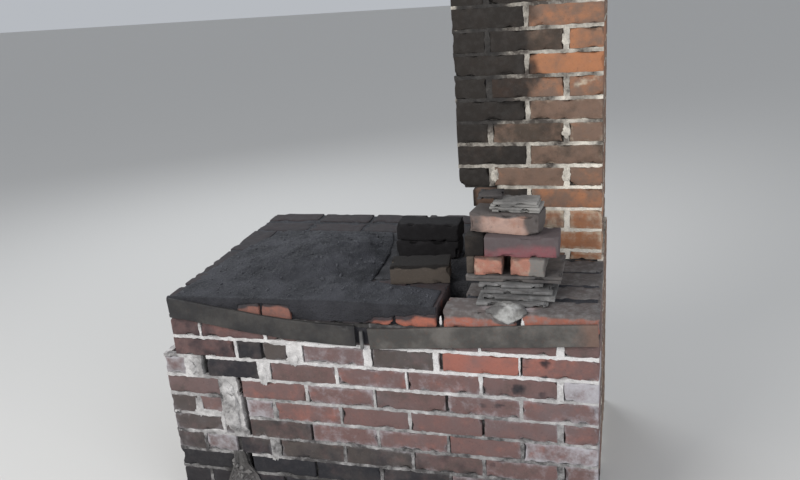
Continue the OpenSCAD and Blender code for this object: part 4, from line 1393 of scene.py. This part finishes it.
loosePieces = [
    # the fire brick's dark top is partly soot and partly painted shade
    ("fireBrick", "fire_brick", bakedClay, "baked_brick", (0.45, 0.25, 0.0),
     sootAndShadeOnTop("fire_brick", 1.2, 0.012)),
    ("firebackLower", "fireback_lower", blackClay, "black_brick", (0.3, 0.8, 0.0), None),
    ("firebackUpper", "fireback_upper", blackClay, "black_brick", (0.3, 0.9, 0.0), None),
    ("pileBrickLowLeft", "pile_brick_low_left", pinkClay, "pale_brick", (0.62, 0.0, 0.0), scorchedEnd),
    ("pileBrickLowRight", "pile_brick_low_right", pinkClay, "pale_brick", (0.50, 0.0, 0.0), oldMortar),
    ("pileSlip", "pile_slip", bakedClay, "sooty_brick", (0.5, 0.3, 0.0), None),
    ("pileBat", "pile_bat", bakedClay, "black_brick", (0.35, 0.72, 0.0), None),
    ("pileBrickMiddle", "pile_brick_middle", maroonClay, "maroon_brick", (0.75, 0.0, 0.0), dustyFace),
    ("pileBrickTop", "pile_brick_top", paleClay, "pale_brick", (0.92, 0.0, 0.1), dustyTop),
]
for name, nodeName, material, slotName, look, sootOf in loosePieces:
    looseBlock(name, nodeName, material, look, looseWear, sootOf=sootOf)


# a slate or iron flat in thin leaves, each a little smaller and turned against the one below
def leafBlock(name, nodeName, material, leaves, seed):
    bm = newMesh()
    angle, places = nodeFrame(nodeName)
    if angle > math.pi * 0.75:
        angle -= math.pi
    centre = sum(places, Vector((0, 0, 0))) / len(places)
    local = [Matrix.Rotation(-angle, 3, "Z") @ (p - centre) for p in places]
    half = Vector([max(abs(p[a]) for p in local) for a in range(3)])
    thick = 2 * half.z / leaves
    pick = random.Random(seed)
    for i in range(leaves):
        trim = Vector((pick.uniform(0, 0.007), pick.uniform(0, 0.005), 0))
        shift = Vector((pick.uniform(-1, 1) * trim.x, pick.uniform(-1, 1) * trim.y, 0))
        middle = centre + Vector((0, 0, -half.z + thick * (i + 0.5))) + shift
        size = half - trim
        size.z = thick * 0.46
        turn = Matrix.Rotation(angle + pick.uniform(-0.012, 0.012), 3, "Z")
        addBlock(bm, middle - size, middle + size, (0.5, 0, 0), {"swell": 0.0006, "chip": 0.022},
                 pick.uniform(0, 90), cell=0.0085,
                 wear=0.0012, turn=turn)
    newPiece(name, bm, material, [nodeName])


leafBlock("slatePlate", "slate_plate", plateStone, 2, 3)
leafBlock("pileSlateLower", "pile_slate_lower", slateStone, 2, 5)
leafBlock("pileSlateMiddle", "pile_slate_middle", slateStone, 2, 8)
leafBlock("pileSlateUpper", "pile_slate_upper", darkStone, 2, 9)
flatLow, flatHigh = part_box("flat_bars")
flatLook = {"count": 4, "step": 0.017, "shift": (0.0, 0.018, 0.009, 0.0),
            "short": (0.018, 0.018, 0.018, 0.036)}
flatThick = (flatHigh.z - flatLow.z) / flatLook["count"]
flatLong = flatHigh.x - flatLow.x
flats = newMesh()
for i in range(flatLook["count"]):
    x0 = flatLow.x + flatLook["shift"][i]
    low = (x0, flatLow.y + flatLook["step"] * i, flatLow.z + flatThick * i + 0.0004)
    high = (x0 + flatLong - flatLook["short"][i], flatHigh.y, flatLow.z + flatThick * (i + 1) - 0.0014)
    addBlock(flats, low, high, (0.5, 0, 0), {"swell": 0.0022, "chip": 0.045}, newSeed(), cell=0.0105,
             wear=0.002)
newPiece("flatBars", flats, flatIron, ["flat_bars"])

spill = copyNode("mortar_spill")
bmesh.ops.triangulate(spill, faces=spill.faces)
bmesh.ops.subdivide_edges(spill, edges=spill.edges, cuts=4, use_grid_fill=True)
spillLow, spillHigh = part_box("mortar_spill")
for vert in spill.verts:
    if vert.co.y < frontFace - 0.001 and vert.co.z > 0.001:
        dent = 0.020 * (lumps(vert.co, 22, 2.0) - 0.3) + 0.011 * lumps(vert.co, 60, 5.0) + 0.005 * lumps(vert.co, 130, 1.0)
        aside = 0.026 * lumps(vert.co, 15, 9.0) + 0.012 * lumps(vert.co, 50, 4.0)
        vert.co.y = clamp(vert.co.y - dent, spillLow.y, frontFace - 0.0005)
        vert.co.x = clamp(vert.co.x + aside, spillLow.x, spillHigh.x)
        vert.co.y += (frontFace - 0.0005 - vert.co.y) * smooth(vert.co.z, spillHigh.z - 0.06, spillHigh.z)
paintLook(spill, lambda place: (0.12 + 0.5 * lumps(place, 20, 6.0), 0.5 + 0.4 * lumps(place, 9, 1.0), 0.0,
                                0.0))
spillTree = BVHTree.FromBMesh(spill)
newPiece("mortarSpill", spill, rubbleMortar, ["mortar_spill"])
spillCrumbs = newMesh()
for _ in range(420):
    aim = Vector((rng.uniform(spillLow.x + 0.01, spillHigh.x - 0.01), frontFace - 0.2,
                  spillHigh.z * rng.random() ** 2 * 0.9))
    hit = spillTree.ray_cast(aim, Vector((0, 1, 0)))[0]
    size = rng.uniform(0.002, 0.0075) if rng.random() < 0.9 else rng.uniform(0.0075, 0.011)
    if hit and hit.y < frontFace - 0.004:
        addLump(spillCrumbs, Vector((hit.x, max(hit.y, spillLow.y + size * 1.6), max(hit.z, size))), size,
                rng.uniform(0, 50))
paintLook(spillCrumbs, lambda place: (0.30 + 0.6 * lumps(place, 90, 2.0), 0.35, 0.0, 0.0))
newPiece("spillCrumbs", spillCrumbs, rubbleMortar, sharp=60)

# the base's right face needs the bricks of its front corner, and its top course is cut at the hearth
baseTop = hearthTop - 0.003
for course in range(11):
    z0 = brick["levellingBed"] + brick["joint"] + course * coursePitch
    z1 = min(z0 + brick["height"], baseTop)
    end = chimneyBrick["width"] if course % 2 else chimneyBrick["length"]
    low, high = chimneyRightBox(0.0, end, faceInset, inner, z0, z1)
    addBlock(baseBricks, low, high, sideLooks(1)[0], wallWear, newSeed(), cell=0.022, soot=flueSoot)
layRun(baseBricks, baseJoints, chimneyRow(False), z0, z1, chimneyBackBox, 0, sideLooks(3), wallWear,
       flueSoot, chimneyPaint,
       [chimneyBrick["length"], inner, chimneyBrick["length"]], 1, bedRise=0.002)
low, high = chimneyRightBox(0.0, chimneyWidth, jointInset, jointDepth, baseTop - 0.0005, hearthTop - 0.0005)
addJoint(baseJoints, low, high, 3.0, 1, 0, chimneyPaint, cell=0.010)
low, high = chimneyRightBox(chimneyWidth / 2 - 0.007, chimneyWidth / 2 + 0.007, jointInset, jointDepth,
                            z0 - 0.001, baseTop)
addJoint(baseJoints, low, high, 4.0, 2, 0, chimneyPaint)
low, high = chimneyRightBox(0.01, chimneyWidth - 0.01, jointInset, jointDepth, 0.0,
                            brick["levellingBed"] + brick["joint"])
addJoint(baseJoints, low, high, 5.0, 1, 0, sidePaint, cell=0.010)
low, high = chimneyBackBox(0.0, chimneyWidth, jointInset, jointDepth, 0.0,
                           brick["levellingBed"] + brick["joint"])
addJoint(baseJoints, low, high, 6.0, 0, 1, sidePaint, cell=0.010)
# a mass of mortar inside the base, painted dark as the shade behind its joints
addBlock(baseJoints, (chimneyEdge + 0.001, chimneyFace + 0.001, 0.0),
         (rightEdge - coreInset, backFace - coreInset, hearthTop - 0.001),
         (0.1, 0.85, 0.0), {"swell": 0.002, "chip": 0.0}, 10.0, cell=0.05)
newPiece("chimneyBaseBricks", baseBricks, chimneyClay, ["chimney_base"])
newPiece("chimneyBaseMortar", baseJoints, chimneyMortar)

for mesh in blockMeshes.values():
    bpy.data.meshes.remove(mesh)

print("stage")
stageLook = {"floorSize": 60.0, "floorColour": (0.62, 0.61, 0.59), "sky": 0.55}
floorMesh = bmesh.new()
bmesh.ops.create_grid(floorMesh, x_segments=1, y_segments=1, size=stageLook["floorSize"] / 2)
floorData = bpy.data.meshes.new("floor")
floorMesh.to_mesh(floorData)
floorMesh.free()
floor = bpy.data.objects.new("floor", floorData)
scene.collection.objects.link(floor)
floorMaterial, floorTree, floorShader = newMaterial("floorPaint")
feed(floorTree, floorShader.inputs["Base Color"], stageLook["floorColour"])
feed(floorTree, floorShader.inputs["Roughness"], 0.8)
floorData.materials.append(floorMaterial)

world = bpy.data.worlds.new("studio")
scene.world = world
world.use_nodes = True
world.node_tree.nodes["Background"].inputs[0].default_value = (0.86, 0.90, 0.96, 1)
world.node_tree.nodes["Background"].inputs[1].default_value = stageLook["sky"]


def addLight(name, place, target, size, power, colour):
    light = bpy.data.lights.new(name, "AREA")
    light.shape = "RECTANGLE"
    light.size, light.size_y = size
    light.energy = power
    light.color = colour
    lamp = bpy.data.objects.new(name, light)
    lamp.location = place
    lamp.rotation_euler = (Vector(target) - Vector(place)).to_track_quat("-Z", "Y").to_euler()
    scene.collection.objects.link(lamp)


addLight("keyLight", (-2.2, -3.2, 3.0), (0, 0, 0.7), (2.4, 2.0), 125, (1.0, 0.985, 0.96))
addLight("fillLight", (3.2, -2.8, 2.0), (0, 0, 0.7), (2.5, 2.0), 62, (0.95, 0.97, 1.0))
addLight("backLight", (-2.0, 3.0, 3.2), (0, 0, 0.8), (2.5, 2.0), 60, (0.92, 0.96, 1.0))

# the camera stands where the photograph's did: distances from the forge's right front top corner
shot = {"right": 0.048, "away": 1.923, "above": 0.889, "yaw": 16.47, "pitch": 19.0, "roll": -4.332,
        "lens": 35.687}
yaw, pitch, roll = (math.radians(shot[k]) for k in ("yaw", "pitch", "roll"))
forward = Vector((-math.sin(yaw) * math.cos(pitch), math.cos(yaw) * math.cos(pitch), -math.sin(pitch)))
level = Vector((math.cos(yaw), math.sin(yaw), 0))
upright = level.cross(forward)
sideways = level * math.cos(roll) + upright * math.sin(roll)
upwards = upright * math.cos(roll) - level * math.sin(roll)
cameraData = bpy.data.cameras.new("camera")
cameraData.lens = shot["lens"]
cameraData.sensor_width = 36
cameraData.clip_start = 0.05
camera = bpy.data.objects.new("camera", cameraData)
scene.collection.objects.link(camera)
camera.matrix_world = Matrix.Translation(Vector((rightEdge + shot["right"], frontFace - shot["away"],
                                                 hearthTop + shot["above"]))) @ Matrix(
    (sideways, upwards, -forward)).transposed().to_4x4()
scene.camera = camera
scene.view_settings.view_transform = "Standard"

print("done")
